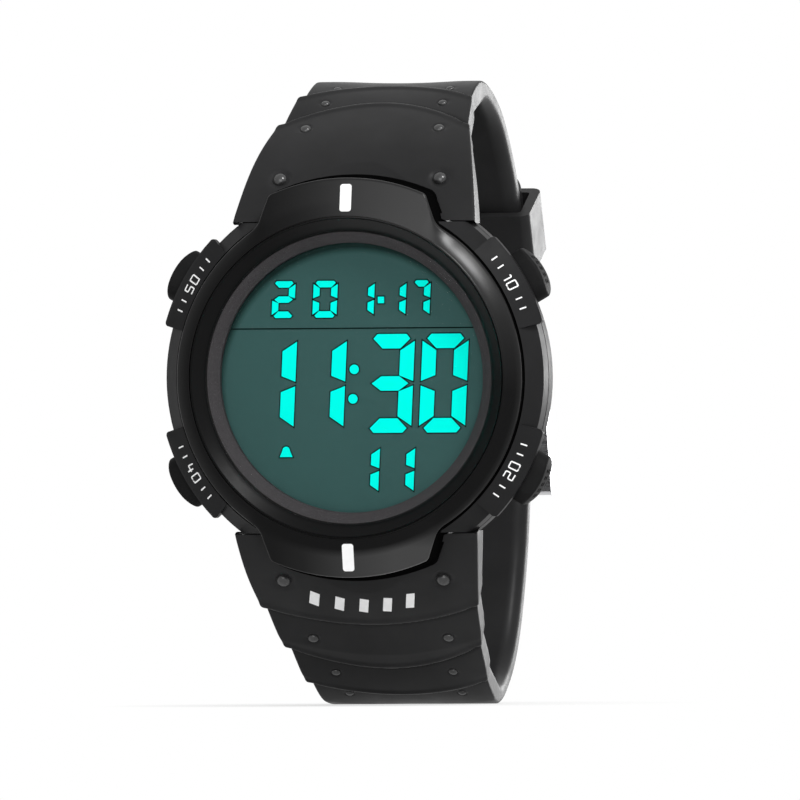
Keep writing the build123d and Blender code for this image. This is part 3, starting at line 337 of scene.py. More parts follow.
print("finishes")
finishes = {
    "case_resin": resinFinish("caseResin", (0.0165, 0.0165, 0.017), 0.42, 0.05),
    "bezel_gloss": bezelFinish(),
    "index_white": plainFinish("indexPaint", (0.97, 0.97, 0.97), 0.4),
    "crystal_glass": crystalFinish(),
    # black rubber of the real parts, and also the painted shadow band round the bezel
    "black_rubber": plainFinish("sealRubber", (0.003, 0.003, 0.003), 0.8, gloss=0.0),
    "mask_grey": maskFinish(),
    "display_teal": displayFinish(),
    "segment_cyan": segmentFinish(),
    "rule_dark": plainFinish("rulePrint", (0.003, 0.007, 0.007), 0.6, scale=3000, gloss=0.03),
    "backlight_film": plainFinish("backlightFilm", (0.55, 0.75, 0.70), 0.5),
    "module_plastic": plainFinish("modulePlastic", (0.74, 0.74, 0.70), 0.5),
    "zebra_rubber": plainFinish("zebraRubber", (0.30, 0.30, 0.31), 0.6, scale=6000, drift=0.5),
    "board_green": plainFinish("solderResist", (0.02, 0.16, 0.06), 0.35),
    "chip_black": plainFinish("chipEpoxy", (0.012, 0.012, 0.012), 0.5),
    "steel": brushedSteel("brushedSteel"),
    "brass": plainFinish("brassSheet", (0.72, 0.52, 0.24), 0.3, 1.0),
    "strap_resin": resinFinish("strapResin", (0.0215, 0.0215, 0.022), 0.36, 0.07),
    "pusher_plastic": resinFinish("pusherResin", (0.012, 0.012, 0.0122), 0.5, 0.03, 0.0005),
    "spring_steel": plainFinish("springWire", (0.55, 0.55, 0.56), 0.28, 1.0),
}
studGloss = resinFinish("studResin", (0.022, 0.022, 0.0225), 0.28, 0.6, 0.003)
slotOf = {piece["node"]: piece["material_slot"] for piece in frame["record"]["subparts"]}
for name, node in nodes.items():
    node.data.materials.clear()
    node.data.materials.append(finishes[slotOf[name]])

# Meshes and grids


def addPiece(name, mesh, slot, body, *replaced):
    # a piece of the object: its mesh with the slot's finish, the body it rides on, the nodes it replaces
    piece = addObject(name, mesh)
    mesh.materials.clear()
    mesh.materials.append(finishes[slot])
    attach(piece, body)
    if replaced:
        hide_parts(*replaced)
    return piece


def welded(mesh):
    # the mesh as a bmesh, its doubles merged
    build = bmesh.new()
    build.from_mesh(mesh)
    bmesh.ops.remove_doubles(build, verts=build.verts, dist=weld)
    return build


def smoothCopy(name, node, body, angle=32):
    # the node's own mesh, its triangles merged, with soft shading between nearly level faces
    mesh = nodes[node].data.copy()
    build = welded(mesh)
    build.to_mesh(mesh)
    build.free()
    if "custom_normal" in mesh.attributes:
        mesh.attributes.remove(mesh.attributes["custom_normal"])
    mesh.shade_smooth()
    mesh.set_sharp_from_angle(angle=math.radians(angle))
    return addPiece(name, mesh, slotOf[node], body, node)


def gridFaces(rows, columns, wrapRows=False, wrapColumns=False):
    # quads between neighbouring rows and columns of a grid of points
    row = np.arange(rows if wrapRows else rows - 1)
    column = np.arange(columns if wrapColumns else columns - 1)
    r, c = np.meshgrid(row, column, indexing="ij")
    nextRow, nextColumn = (r + 1) % rows, (c + 1) % columns
    quads = np.stack([r * columns + c, r * columns + nextColumn, nextRow * columns + nextColumn,
                      nextRow * columns + c], axis=-1)
    return quads.reshape(-1, 4)


def makeMesh(name, shells, sharp=35):
    # shells of (points in mm, faces), each turned so that its faces point outwards
    build = bmesh.new()
    for points, faces in shells:
        shell = bpy.data.meshes.new("shell")
        shell.from_pydata((np.asarray(points, float).reshape(-1, 3) * mm).tolist(), [], [list(f) for f in faces])
        part = welded(shell)
        bmesh.ops.dissolve_degenerate(part, edges=part.edges, dist=0.0002 * mm)
        bmesh.ops.recalc_face_normals(part, faces=part.faces)
        part.to_mesh(shell)
        part.free()
        build.from_mesh(shell)
        bpy.data.meshes.remove(shell)
    mesh = bpy.data.meshes.new(name)
    build.to_mesh(mesh)
    build.free()
    mesh.shade_smooth()
    mesh.set_sharp_from_angle(angle=math.radians(sharp))
    return mesh


def addShells(name, shells, slot, body, *replaced, sharp=35):
    # a piece made of closed shells
    return addPiece(name, makeMesh(name, shells, sharp), slot, body, *replaced)


def tubeFaces(rows, columns):
    # a tube's quads, from ring to ring, and the two faces that close its ends
    quads = [list(face) for face in gridFaces(rows, columns, wrapColumns=True)]
    return quads + [list(range(columns)), list(range(rows * columns - 1, (rows - 1) * columns - 1, -1))]


def onDial(radius, turn, height):
    # a point at this radius, turn and height over the case back: (r cos a, -h, r sin a)
    return np.stack([radius * np.cos(turn), -height + 0 * turn, radius * np.sin(turn)], axis=-1)


def turnedShell(turn, columns, closed=True):
    # columns of (radius, height) at each turn, each a number or one value for every turn
    radius, height = [np.stack([column[i] + 0 * turn for column in columns], axis=1) for i in (0, 1)]
    faces = gridFaces(len(turn), len(columns), wrapRows=True, wrapColumns=closed)
    return onDial(radius, turn[:, None], height), faces


def circle(radius, count=32):
    # corners evenly round a circle
    turn = np.linspace(0, 2 * np.pi, count, endpoint=False)
    return radius * np.stack([np.cos(turn), np.sin(turn)], axis=1)


def unit(arrow):
    # arrows of length 1, the same way
    return arrow / np.linalg.norm(arrow, axis=-1, keepdims=True)


def roundDrop(distance, radius):
    # how far a rounded edge has fallen at this distance from it
    inside = np.clip(radius - distance, 0, radius)
    return radius - np.sqrt(radius**2 - inside**2)


def smoothStep(value, low, high):
    # 0 up to low and 1 from high on; between them s s (3 - 2 s) for the share s of the way
    share = np.clip((value - low) / (high - low), 0, 1)
    return share * share * (3 - 2 * share)


# Bezel with its two ears

bezelShape = {
    "topRadius": 20.75, "rimRadius": 22.85, "depth": 14.5, "crystalTop": 13.05,
    "slope": 0.198, "rimDrop": 1.18, "rimRun": 2.1, "rimBow": 1.5, "rimEdge": 0.22,
    "throat": [(19.0, 13.05), (19.0, 13.13), (19.05, 13.21), (19.6, 13.66), (20.2, 14.14), (20.45, 14.34),
               (20.54, 14.42)],
    "groove": [(20.57, 0.02), (20.60, 0.2), (20.64, 0.4), (20.80, 0.4), (20.84, 0.2), (20.87, 0.02)],
    "topFrom": 20.9, "topRows": 36, "topCrowding": 1.7,
    "seat": 11.1, "underRadius": 20.75, "underReach": 22.5, "earSeat": 9.3, "earEnd": 25.8, "earEndEdge": 0.3,
    "earTurns": (50, 63), "flankTurns": (54, 69.5),
    "flankBase": (11.6, 20.2), "flankCorner": (10.35, 23.7), "hollow": 3.0, "corner": 1.0, "undercut": 0.1,
    # the black band that paints the shade in the gap round the bezel
    "seal": {"below": 0.12, "inside": 0.05, "thickness": 0.05, "drop": 0.2, "foot": 0.1, "earRun": 0.45,
             "rimRun": 0.18},
}


def angleOf(point):
    # how far round the dial a point lies
    return math.atan2(point[1], point[0])


def bezelOutline():
    # the first quadrant's outline: rim circle, hollow fillet, ear's flank, its round corner and its end
    shape = bezelShape
    base, tip = np.array(shape["flankBase"]), np.array(shape["flankCorner"])
    along = unit(tip - base)
    outward = np.array([along[1], -along[0]])
    offset = base @ outward

    def centreAt(distance, level):
        return level * outward + math.sqrt(distance**2 - level**2) * along

    hollow = centreAt(shape["rimRadius"] + shape["hollow"], offset + shape["hollow"])
    corner = centreAt(shape["earEnd"] - shape["corner"], offset - shape["corner"])
    return outward, offset, hollow, corner


def bezelReach(turn):
    # how far the outline lies from the centre at each angle: where its ray meets the arc or line there
    shape = bezelShape
    outward, offset, hollow, corner = bezelOutline()
    ray = np.stack([np.cos(turn), np.sin(turn)], axis=-1)
    toHollow, toCorner = ray @ hollow, ray @ corner
    near = toHollow - np.sqrt(np.maximum(toHollow**2 - hollow @ hollow + shape["hollow"]**2, 0))
    far = toCorner + np.sqrt(np.maximum(toCorner**2 - corner @ corner + shape["corner"]**2, 0))
    flank = offset / (ray @ outward)
    return np.select([turn < angleOf(hollow), turn < angleOf(hollow - shape["hollow"] * outward),
                      turn < angleOf(corner + shape["corner"] * outward), turn < angleOf(corner)],
                     [shape["rimRadius"] + 0 * turn, near, flank, far], shape["earEnd"])


def bezelHeight(x, z):
    # the cone of the ears' tops, less a fall towards the outline: long on the rim, a short round
    # along the ears
    shape = bezelShape
    outward, offset, hollow, corner = bezelOutline()
    radius = np.hypot(x, z)
    turn = np.arctan2(z, x)
    toFlank = offset - x * outward[0] - z * outward[1]
    toEnd = shape["earEnd"] - radius
    inCorner = (toFlank < shape["corner"]) & (toEnd < shape["corner"])
    fromCorner = shape["corner"] - np.hypot(x - corner[0], z - corner[1])
    past = (turn < angleOf(corner)) & ((x - corner[0]) * outward[1] - (z - corner[1]) * outward[0] < 0)
    toEar = np.where(inCorner & past, fromCorner, np.minimum(toFlank, toEnd))
    toEdge = np.maximum(shape["rimRadius"] - radius, toEar)
    # the hollow fillet's own sector, seen from its centre
    hx, hz = x - hollow[0], z - hollow[1]
    towardRim = unit(-hollow)
    crossRim = towardRim[0] * hz - towardRim[1] * hx
    crossFlank = -outward[0] * hz + outward[1] * hx
    inHollow = (crossRim < 0) & (crossFlank > 0)
    toEdge = np.maximum(np.where(inHollow, np.hypot(hx, hz) - shape["hollow"], toEdge), 0)
    ends = smoothStep(turn, *np.radians(shape["earTurns"]))
    rimFall = shape["rimDrop"] * np.clip(1 - toEdge / shape["rimRun"], 0, 1) ** shape["rimBow"]
    fall = (rimFall + roundDrop(toEdge, shape["rimEdge"])) * (1 - ends) + roundDrop(toEdge, shape["earEndEdge"]) * ends
    return shape["depth"] - shape["slope"] * (radius - shape["topRadius"]) - fall


def bezelEdge():
    # the outline all round: its angles, the same folded into one quarter, its reach, where it is an
    # ear's, and its lower height
    shape = bezelShape
    low, high = shape["flankTurns"]
    quarter = np.radians(np.concatenate([np.arange(0, low, 0.9), np.arange(low, high, 0.16),
                                         np.linspace(high, 90, 40)]))
    turn = np.concatenate([quarter, np.pi - quarter[::-1][1:], np.pi + quarter[1:], 2 * np.pi - quarter[::-1][1:-1]])
    folded = np.abs((turn + np.pi / 2) % np.pi - np.pi / 2)
    onEar = folded > angleOf(bezelOutline()[2])
    return turn, folded, bezelReach(folded), onEar, np.where(onEar, shape["earSeat"], shape["seat"])


def shadowBandShell():
    # painted shadow: a dull black band down the outer wall with a foot across the gap round it, standing for the deep
    # shade in that gap
    seal = bezelShape["seal"]
    turn, folded, reach, onEar, bottom = bezelEdge()
    within = reach - 0.001
    top = bezelHeight(within * np.cos(folded), within * np.sin(folded)) - seal["below"]
    foot = bottom - seal["drop"]
    inner, outer = reach - seal["inside"], reach + seal["thickness"]
    far = reach + np.where(onEar, seal["earRun"], seal["rimRun"])
    return turnedShell(turn, [(inner, top), (reach + seal["thickness"] * 0.4, top - 0.03), (outer, top - 0.2),
                              (outer, foot), (far, foot), (far, foot - seal["foot"]), (inner, foot - seal["foot"])])


def bezelShell():
    # columns go from the opening over the top to the outline, then down and back under the rim
    shape = bezelShape
    turn, folded, reach, onEar, bottom = bezelEdge()
    columns = shape["throat"] + [(radius, shape["depth"] - drop) for radius, drop in shape["groove"]]
    for share in 1 - (1 - np.linspace(0, 1, shape["topRows"])) ** shape["topCrowding"]:
        radius = shape["topFrom"] + (reach - shape["topFrom"]) * share
        columns.append((radius, bezelHeight(radius * np.cos(folded), radius * np.sin(folded))))
    edge = columns[-1][1]
    # the outer wall draws in a little under the edge
    wall = reach - shape["undercut"]
    under = np.minimum(wall - 0.05, shape["underReach"])
    return turnedShell(turn, columns + [(reach, edge - 0.12), (wall, edge - 0.3), (wall, bottom), (under, bottom),
                                        (under, shape["seat"]), (shape["underRadius"], shape["seat"]),
                                        (shape["underRadius"], shape["crystalTop"])])


print("bezel")
# a painted shadow: the black band in the gap round the bezel
addShells("bezelSeal", [shadowBandShell()], "black_rubber", "watch", sharp=50)
addShells("bezelShell", [bezelShell()], "bezel_gloss", "watch", "bezel", sharp=50)

# Window: the sloping mask ring and the pane over it

windowShape = {
    "mask": [(17.42, 10.63), (17.42, 11.56), (17.5, 11.64), (18.95, 12.86), (19.12, 12.88), (19.55, 12.88),
             (19.55, 12.4), (18.2, 11.2), (18.2, 10.63)],
    "pane": [(0.0, 13.05), (19.5, 13.05), (19.6, 12.98), (19.6, 12.90), (19.0, 12.90), (17.45, 11.67), (0.0, 11.67)],
}
print("window")
fullTurn = np.linspace(0, 2 * np.pi, 256, endpoint=False)
addShells("maskRing", [turnedShell(fullTurn, windowShape["mask"])], "mask_grey", "watch", "dial_mask")
addShells("crystalPane", [turnedShell(fullTurn, windowShape["pane"], closed=False)], "crystal_glass", "watch",
          "crystal")

# Thin dark rims round the display's segments

segmentRim = {"width": 0.15, "lift": 0.004, "height": 0.01}


def segmentRims():
    # each segment's front face, its outline followed from corner to corner and widened
    build = welded(nodes["lcd_segments"].data)
    bmesh.ops.delete(build, geom=[face for face in build.faces if face.normal.y > -0.9], context="FACES")
    level = min(vert.co.y for vert in build.verts) / mm + segmentRim["lift"]
    following = {}
    for face in build.faces:
        for loop in face.loops:
            if loop.edge.is_boundary:
                following[loop.vert] = loop.link_loop_next.vert
    shells = []
    while following:
        first = vert = next(iter(following))
        ring = []
        while vert in following:
            ring.append((vert.co.x / mm, vert.co.z / mm))
            vert = following.pop(vert)
        ring = np.array(ring)
        # each corner moves out along its bisector, so that both sides move by the rim's width
        back, ahead = unit(ring - np.roll(ring, 1, axis=0)), unit(np.roll(ring, -1, axis=0) - ring)
        outBack, outAhead = [np.stack([side[:, 1], -side[:, 0]], axis=1) for side in (back, ahead)]
        area = np.sum(ring[:, 0] * np.roll(ring[:, 1], -1) - ring[:, 1] * np.roll(ring[:, 0], -1))
        miter = (outBack + outAhead) / np.maximum(1 + np.sum(outBack * outAhead, axis=1), 0.35)[:, None]
        wide = ring + miter * segmentRim["width"] * np.sign(area)
        points = [[(x, depth, z) for x, z in wide] for depth in (level, level + segmentRim["height"])]
        shells.append((points, tubeFaces(2, len(ring))))
    build.free()
    return shells


addShells("segmentRims", segmentRims(), "rule_dark", "watch")

# Curves


def lengthsAlong(line):
    # the sum of the chords up to each point
    return np.concatenate([[0], np.cumsum(np.linalg.norm(np.diff(line, axis=0), axis=1))])


def smoothLine(points, step):
    # natural cubic spline through the points, its parameter the length of the chords
    points = np.array(points, float)
    gaps = np.linalg.norm(np.diff(points, axis=0), axis=1)
    knots = lengthsAlong(points)
    count = len(points)
    slopes = np.diff(points, axis=0) / gaps[:, None]
    system = np.eye(count)
    inner = np.arange(1, count - 1)
    system[inner, inner] = 2 * (gaps[:-1] + gaps[1:])
    system[inner, inner - 1] = gaps[:-1]
    system[inner, inner + 1] = gaps[1:]
    right = np.zeros_like(points)
    right[1:-1] = 6 * np.diff(slopes, axis=0)
    bends = np.linalg.solve(system, right)
    at = np.linspace(0, knots[-1], int(knots[-1] / step))
    piece = np.clip(np.searchsorted(knots, at, side="right") - 1, 0, count - 2)
    gap = gaps[piece][:, None]
    behind = (at - knots[piece])[:, None]
    ahead = gap - behind
    return sum(bends[i] * rest**3 / (6 * gap) + (points[i] / gap - bends[i] * gap / 6) * rest
               for i, rest in ((piece, ahead), (piece + 1, behind)))


def lineNormals(line, side):
    # the line's direction at each point, turned by a right angle to this side
    along = unit(np.gradient(line, axis=0))
    return np.stack([-along[:, 1], along[:, 0]], axis=1) * side


def roundedLine(corners, radius, steps=5):
    # a polyline whose corners are arcs of this radius; its ends stay
    corners = np.array(corners, float)
    line = [corners[:1]]
    for before, corner, after in zip(corners, corners[1:], corners[2:]):
        back, ahead = unit(before - corner), unit(after - corner)
        half = math.acos(np.clip(back @ ahead, -1, 1)) / 2
        middle, across = unit(back + ahead), unit(ahead - back)
        centre = corner + middle * radius / math.sin(half)
        sweep = np.linspace(-1, 1, steps)[:, None] * (math.pi / 2 - half)
        line.append(centre - middle * radius * np.cos(sweep) + across * radius * np.sin(sweep))
    line.append(corners[-1:])
    return np.concatenate(line)


# Painted marks: strokes on a surface that a function gives

stroke = {"width": 0.21, "crown": 0.84, "rise": 0.03, "sink": -0.05, "bend": 0.14}
figures = {
    "0": (0.62, [[(0.31, 0), (0, 0), (0, 1), (0.62, 1), (0.62, 0), (0.31, 0)]]),
    "1": (0.22, [[(0, 0.78), (0.22, 1), (0.22, 0)]]),
    "2": (0.6, [[(0, 1), (0.6, 1), (0.6, 0.5), (0, 0.5), (0, 0), (0.6, 0)]]),
    "4": (0.62, [[(0.05, 1), (0, 0.36), (0.62, 0.36)], [(0.46, 0.75), (0.46, 0)]]),
    "5": (0.6, [[(0.58, 1), (0, 1), (0, 0.52), (0.6, 0.52), (0.6, 0), (0, 0)]]),
}


def strokeShell(line, width, surface):
    # a flat ribbon with low sides: the line's points moved to either side, on and above the surface
    normals, crown = lineNormals(line, 1), stroke["crown"]
    columns = []
    for side, rise in ((1, "sink"), (crown, "rise"), (-crown, "rise"), (-1, "sink")):
        edge = line + normals * side * width / 2
        columns.append(surface(edge[:, 0], edge[:, 1], stroke[rise]))
    return np.stack(columns, axis=1), tubeFaces(len(line), 4)


def figureStrokes(text, height, gap):
    # the strokes of a number, centred on its middle
    widths = [figures[figure][0] * height for figure in text]
    left = -(sum(widths) + gap * (len(text) - 1)) / 2
    strokes = []
    for figure, width in zip(text, widths):
        for corners in figures[figure][1]:
            line = np.array(corners, float) * height + [left, -height / 2]
            strokes.append(roundedLine(line, stroke["bend"]) if len(line) > 2 else line)
        left += width + gap
    return strokes


# Minute numbers on the four guards

guardMarks = {"numbers": {30: "10", 330: "20", 210: "40", 150: "50"}, "radius": 24.35, "height": 1.4,
              "gap": 0.55, "tickHeight": 0.95, "tickTurns": (-8.8, -5.6, 5.6, 8.8),
              "inner": (23.1, 12.0), "outer": (25.6, 10.35)}


def guardSurface(middle, upright):
    # a point u along the arc and v across it, on the guard's cone at this angle
    (innerRadius, innerHeight), (outerRadius, outerHeight) = guardMarks["inner"], guardMarks["outer"]
    run = math.hypot(outerRadius - innerRadius, innerHeight - outerHeight)
    level, fall = (outerRadius - innerRadius) / run, (innerHeight - outerHeight) / run

    def surface(u, v, rise):
        turn = math.radians(middle) - upright * u / guardMarks["radius"]
        radius = guardMarks["radius"] + upright * v * level + rise * fall
        height = innerHeight - (radius - innerRadius) * fall / level + rise / level
        return onDial(radius, turn, height)

    return surface


def guardNumbers():
    # on each guard its number, and two ticks on either side of it
    shells = []
    for middle, number in guardMarks["numbers"].items():
        # numbers on the lower half stand with their heads towards the dial
        surface = guardSurface(middle, 1 if middle < 180 else -1)
        strokes = figureStrokes(number, guardMarks["height"], guardMarks["gap"])
        for turn in guardMarks["tickTurns"]:
            along = math.radians(turn) * guardMarks["radius"]
            half = guardMarks["tickHeight"] / 2
            strokes.append(np.array([(along, -half), (along, 0), (along, half)]))
        shells += [strokeShell(line, stroke["width"], surface) for line in strokes]
    return shells


print("guard numbers")
addShells("guardNumbers", guardNumbers(), "index_white", "watch")

# Strap

watch = {"caseDepth": 14.5, "rootDepth": 4.8, "loopDepth": 64.0, "rootOffset": 20.2}
strap = {
    "rootThickness": 4.2, "rearThickness": 2.8, "tailThickness": 2.4, "tailFade": 4, "rootHalf": 16.1,
    "layerGap": 0.35, "edge": 0.3, "innerEdge": (1.9, 1.7), "skinDepth": 1.4, "fineStep": 0.05, "smoothing": 30,
    "earGap": 0.12, "endEdge": 0.02, "endSlant": 0.08, "endUnder": 0.4, "endSearch": 18,
    "step": 0.8, "stepRun": 0.35, "lip": 0.16, "lipAt": -0.5, "lipWidth": 0.45, "trough": 0.3, "troughAt": 0.7,
    "troughWidth": 0.35, "plateRun": 7.0, "notch": 0.4, "notchRun": 0.4, "notchEnd": 6.5,
    "crescentHalf": 6.6, "crescentRun": 1.9, "crescentDepth": 0.5, "crescentReach": 14,
    "dishRadius": 1.75, "dishDepth": 0.3, "studRise": 0.5, "studRings": 9, "studCorners": 28,
    "knuckle": 1.55, "pivotShare": 0.943, "pivotOffset": -4.0, "buckleReach": 10.0, "underBarShare": 0.965,
    "slotHalf": 1.35, "slotReach": 1.8, "fanReach": 9.0, "tipReach": 6.0,
    "thickness": [(0.0, 1.0), (0.25, 0.5), (0.5, 0.15), (0.7, 0.0), (1.1, 0.0)],
}
# each half: its line in shares of the reach and the depth, its half width by the share of the depth,
# steps as (offset, bow) and studs as (x, offset, radius, dish's radius)
upperStrap = {
    "side": 1, "reach": 38.4, "rearHalf": 10.8,
    "line": [(0.464, 0.108), (0.757, 0.236), (0.922, 0.341), (1.0, 0.485), (0.912, 0.591), (0.74, 0.689),
             (0.569, 0.747), (0.398, 0.796), (0.227, 0.834)],
    "inner": [(-0.066, 0.885), (-0.453, 0.929), (-0.84, 0.956)],
    "width": [(0.0, 1.0), (0.108, 0.65), (0.194, 0.38), (0.314, 0.14), (0.42, 0.03), (0.52, 0.0)],
    "steps": [(32.7, 6.0), (36.4, 4.6)],
    "studs": [(10.6, 25.8, 0.95, 1.75), (8.85, 32.3, 0.72, 1.1), (7.8, 36.0, 0.6, 0.95), (7.5, 38.0, 0.55, 0.85)],
}
lowerStrap = {
    "side": -1, "reach": 42.4, "rearHalf": 10.4,
    "line": [(0.21, 0.050), (0.464, 0.150), (0.712, 0.291), (0.892, 0.412), (1.0, 0.552), (0.964, 0.669),
             (0.851, 0.757), (0.64, 0.834), (0.36, 0.892), (0.081, 0.932)],
    "width": [(0.0, 1.0), (0.111, 0.75), (0.255, 0.48), (0.363, 0.33), (0.473, 0.22), (0.6, 0.08), (0.72, 0.0)],
    "steps": [(29.6, 4.0), (34.8, 5.6), (39.4, 4.4)],
    "studs": [(10.6, 26.3, 0.95, 1.75), (9.0, 34.0, 0.72, 1.1), (7.8, 38.6, 0.6, 0.95), (7.5, 41.5, 0.55, 0.85)],
}


def loopDepth(share):
    # Y at this share of the depth from the strap's root to the back of the loop
    return watch["rootDepth"] + share * (watch["loopDepth"] - watch["rootDepth"]) - watch["caseDepth"]


def loopPoint(share, shape):
    # shares of the reach and the depth past the strap's root, as (Y, Z)
    z = watch["rootOffset"] + share[0] * (shape["reach"] - watch["rootOffset"])
    return np.array([loopDepth(share[1]), shape["side"] * z])


def shareTable(table, value):
    # a table's value, along straight lines between its entries
    return np.interp(value, [entry[0] for entry in table], [entry[1] for entry in table])


def strapLines():
    # the outer surface's line of both halves; the lower one goes on over the upper one's rear layer
    root = np.array([loopDepth(0), watch["rootOffset"]])
    knuckleTop = np.array([loopDepth(strap["pivotShare"]) + strap["knuckle"], strap["pivotOffset"]])
    upper = np.array([root] + [loopPoint(share, upperStrap) for share in upperStrap["line"] + upperStrap["inner"]]
                     + [knuckleTop])
    lift = strap["layerGap"] + strap["tailThickness"]
    tail = (upper + lineNormals(upper, 1) * lift)[len(upperStrap["line"]) - 1:-1]
    underBar = [loopDepth(strap["underBarShare"]), strap["pivotOffset"] - strap["buckleReach"]]
    lower = np.array([root * [1, -1]] + [loopPoint(share, lowerStrap) for share in lowerStrap["line"]]
                     + [underBar, knuckleTop + [lift, 0]] + list(tail[::-1]))
    return upper, lower, len(lowerStrap["line"]) + 1


def cutOut(x):
    # how far from the dial's centre the strap's end lies: a gap past the bezel's ear, straight beside it
    turn = np.linspace(math.pi / 2, angleOf(bezelOutline()[2]), 240)
    reach = bezelReach(turn) + strap["earGap"]
    return np.maximum(np.interp(np.abs(x), reach * np.cos(turn), reach * np.sin(turn)), watch["rootOffset"])


def dishDepth(dish):
    # smaller dishes are less deep, by the square of their radius
    return strap["dishDepth"] * (dish / strap["dishRadius"]) ** 2


class StrapPath:
    # a strap half's outer line at even steps, with its normal, thickness and half width

    def __init__(self, line, shape, tailFrom=None):
        self.shape = shape
        self.place = smoothLine(line, strap["fineStep"])
        self.length = lengthsAlong(self.place)
        self.normal = lineNormals(self.place, shape["side"])
        share = (self.place[:, 0] - loopDepth(0)) / (loopDepth(1) - loopDepth(0))
        thicker = strap["rootThickness"] - strap["rearThickness"]
        self.thick = strap["rearThickness"] + thicker * shareTable(strap["thickness"], share)
        self.half = shape["rearHalf"] + (strap["rootHalf"] - shape["rearHalf"]) * shareTable(shape["width"], share)
        rear = np.argmax(self.place[:, 0])
        self.half[rear:] = shape["rearHalf"]
        window = 2 * strap["smoothing"] + 1
        self.half = np.convolve(np.pad(self.half, strap["smoothing"], mode="edge"), np.ones(window) / window,
                                mode="valid")
        self.apex = int(np.argmax(np.abs(self.place[:rear, 1])))
        if tailFrom is not None:
            nearest = np.argmin(np.linalg.norm(self.place - tailFrom, axis=1))
            fade = np.clip((self.length - self.length[nearest]) / strap["tailFade"] + 1, 0, 1)
            self.thick = self.thick + (strap["tailThickness"] - self.thick) * fade

    def along(self, values, at):
        # the values at these lengths
        return np.interp(at, self.length, values)

    def lengthAt(self, offset):
        # the length where the front of the loop is this far from the dial's centre
        return np.interp(offset, np.abs(self.place[:self.apex + 1, 1]), self.length[:self.apex + 1])

    def skinDrop(self, x, at):
        # what the outer skin lies below the plain band. Past each bowed step it falls by the step's
        # height, into a trough, and rises again over the plate; a soft lip stands before the step, a
        # crescent falls away beside the ear, and a dish lies where each stud sits
        half = self.along(self.half, at)
        drop = np.zeros_like(at)
        for offset, bow in self.shape["steps"]:
            past = at - self.lengthAt(offset) - bow * (1 - (x / half) ** 2)
            fall = smoothStep(past, 0, strap["stepRun"])
            rise = np.clip(1 - (past - strap["stepRun"]) / strap["plateRun"], 0, 1)
            drop = np.where(past > 0, strap["step"] * fall * rise, drop)
            drop = drop - strap["lip"] * np.exp(-((past - strap["lipAt"]) / strap["lipWidth"]) ** 2) * (past < 0)
            drop = drop + strap["trough"] * np.exp(-((past - strap["troughAt"]) / strap["troughWidth"]) ** 2)
        near = np.abs(self.along(self.place[:, 1], at)) - cutOut(x)
        crescent = np.clip(1 - near / strap["crescentRun"] - (np.abs(x) / strap["crescentHalf"]) ** 2, 0, 1)
        drop = drop + strap["crescentDepth"] * crescent ** 0.8 * (at < strap["crescentReach"])
        for studX, studZ, radius, dish in self.shape["studs"]:
            away = np.hypot(np.abs(x) - studX, at - self.lengthAt(studZ))
            drop = drop + dishDepth(dish) * smoothStep(-away, -dish, -radius * 0.9)
        return drop

    def studShells(self):
        # round caps in the dishes, on both sides: rings of ever smaller radius up to the top
        shells = []
        rings, corners = strap["studRings"], strap["studCorners"]
        rise = np.radians(np.linspace(0, 84, rings))[:, None]
        for side in (-1, 1):
            for studX, studZ, radius, dish in self.shape["studs"]:
                middle = np.array(float(self.lengthAt(studZ)))
                across, along = circle(radius, corners).T
                base = self.skinDrop(np.array(side * studX), middle)
                below = base + 0.05 - (dishDepth(dish) + strap["studRise"] * radius) * np.sin(rise) + 0 * across
                points = self.surface(side * studX + np.cos(rise) * across, middle + np.cos(rise) * along, below)
                shells.append((points, tubeFaces(rings, corners)))
        return shells

    def surface(self, x, at, below):
        # points at these places of the band, this far below its plain outer skin
        y, z = [self.along(self.place[:, i], at) - self.along(self.normal[:, i], at) * below for i in (0, 1)]
        return np.stack([x + 0 * y, y, z], axis=-1)


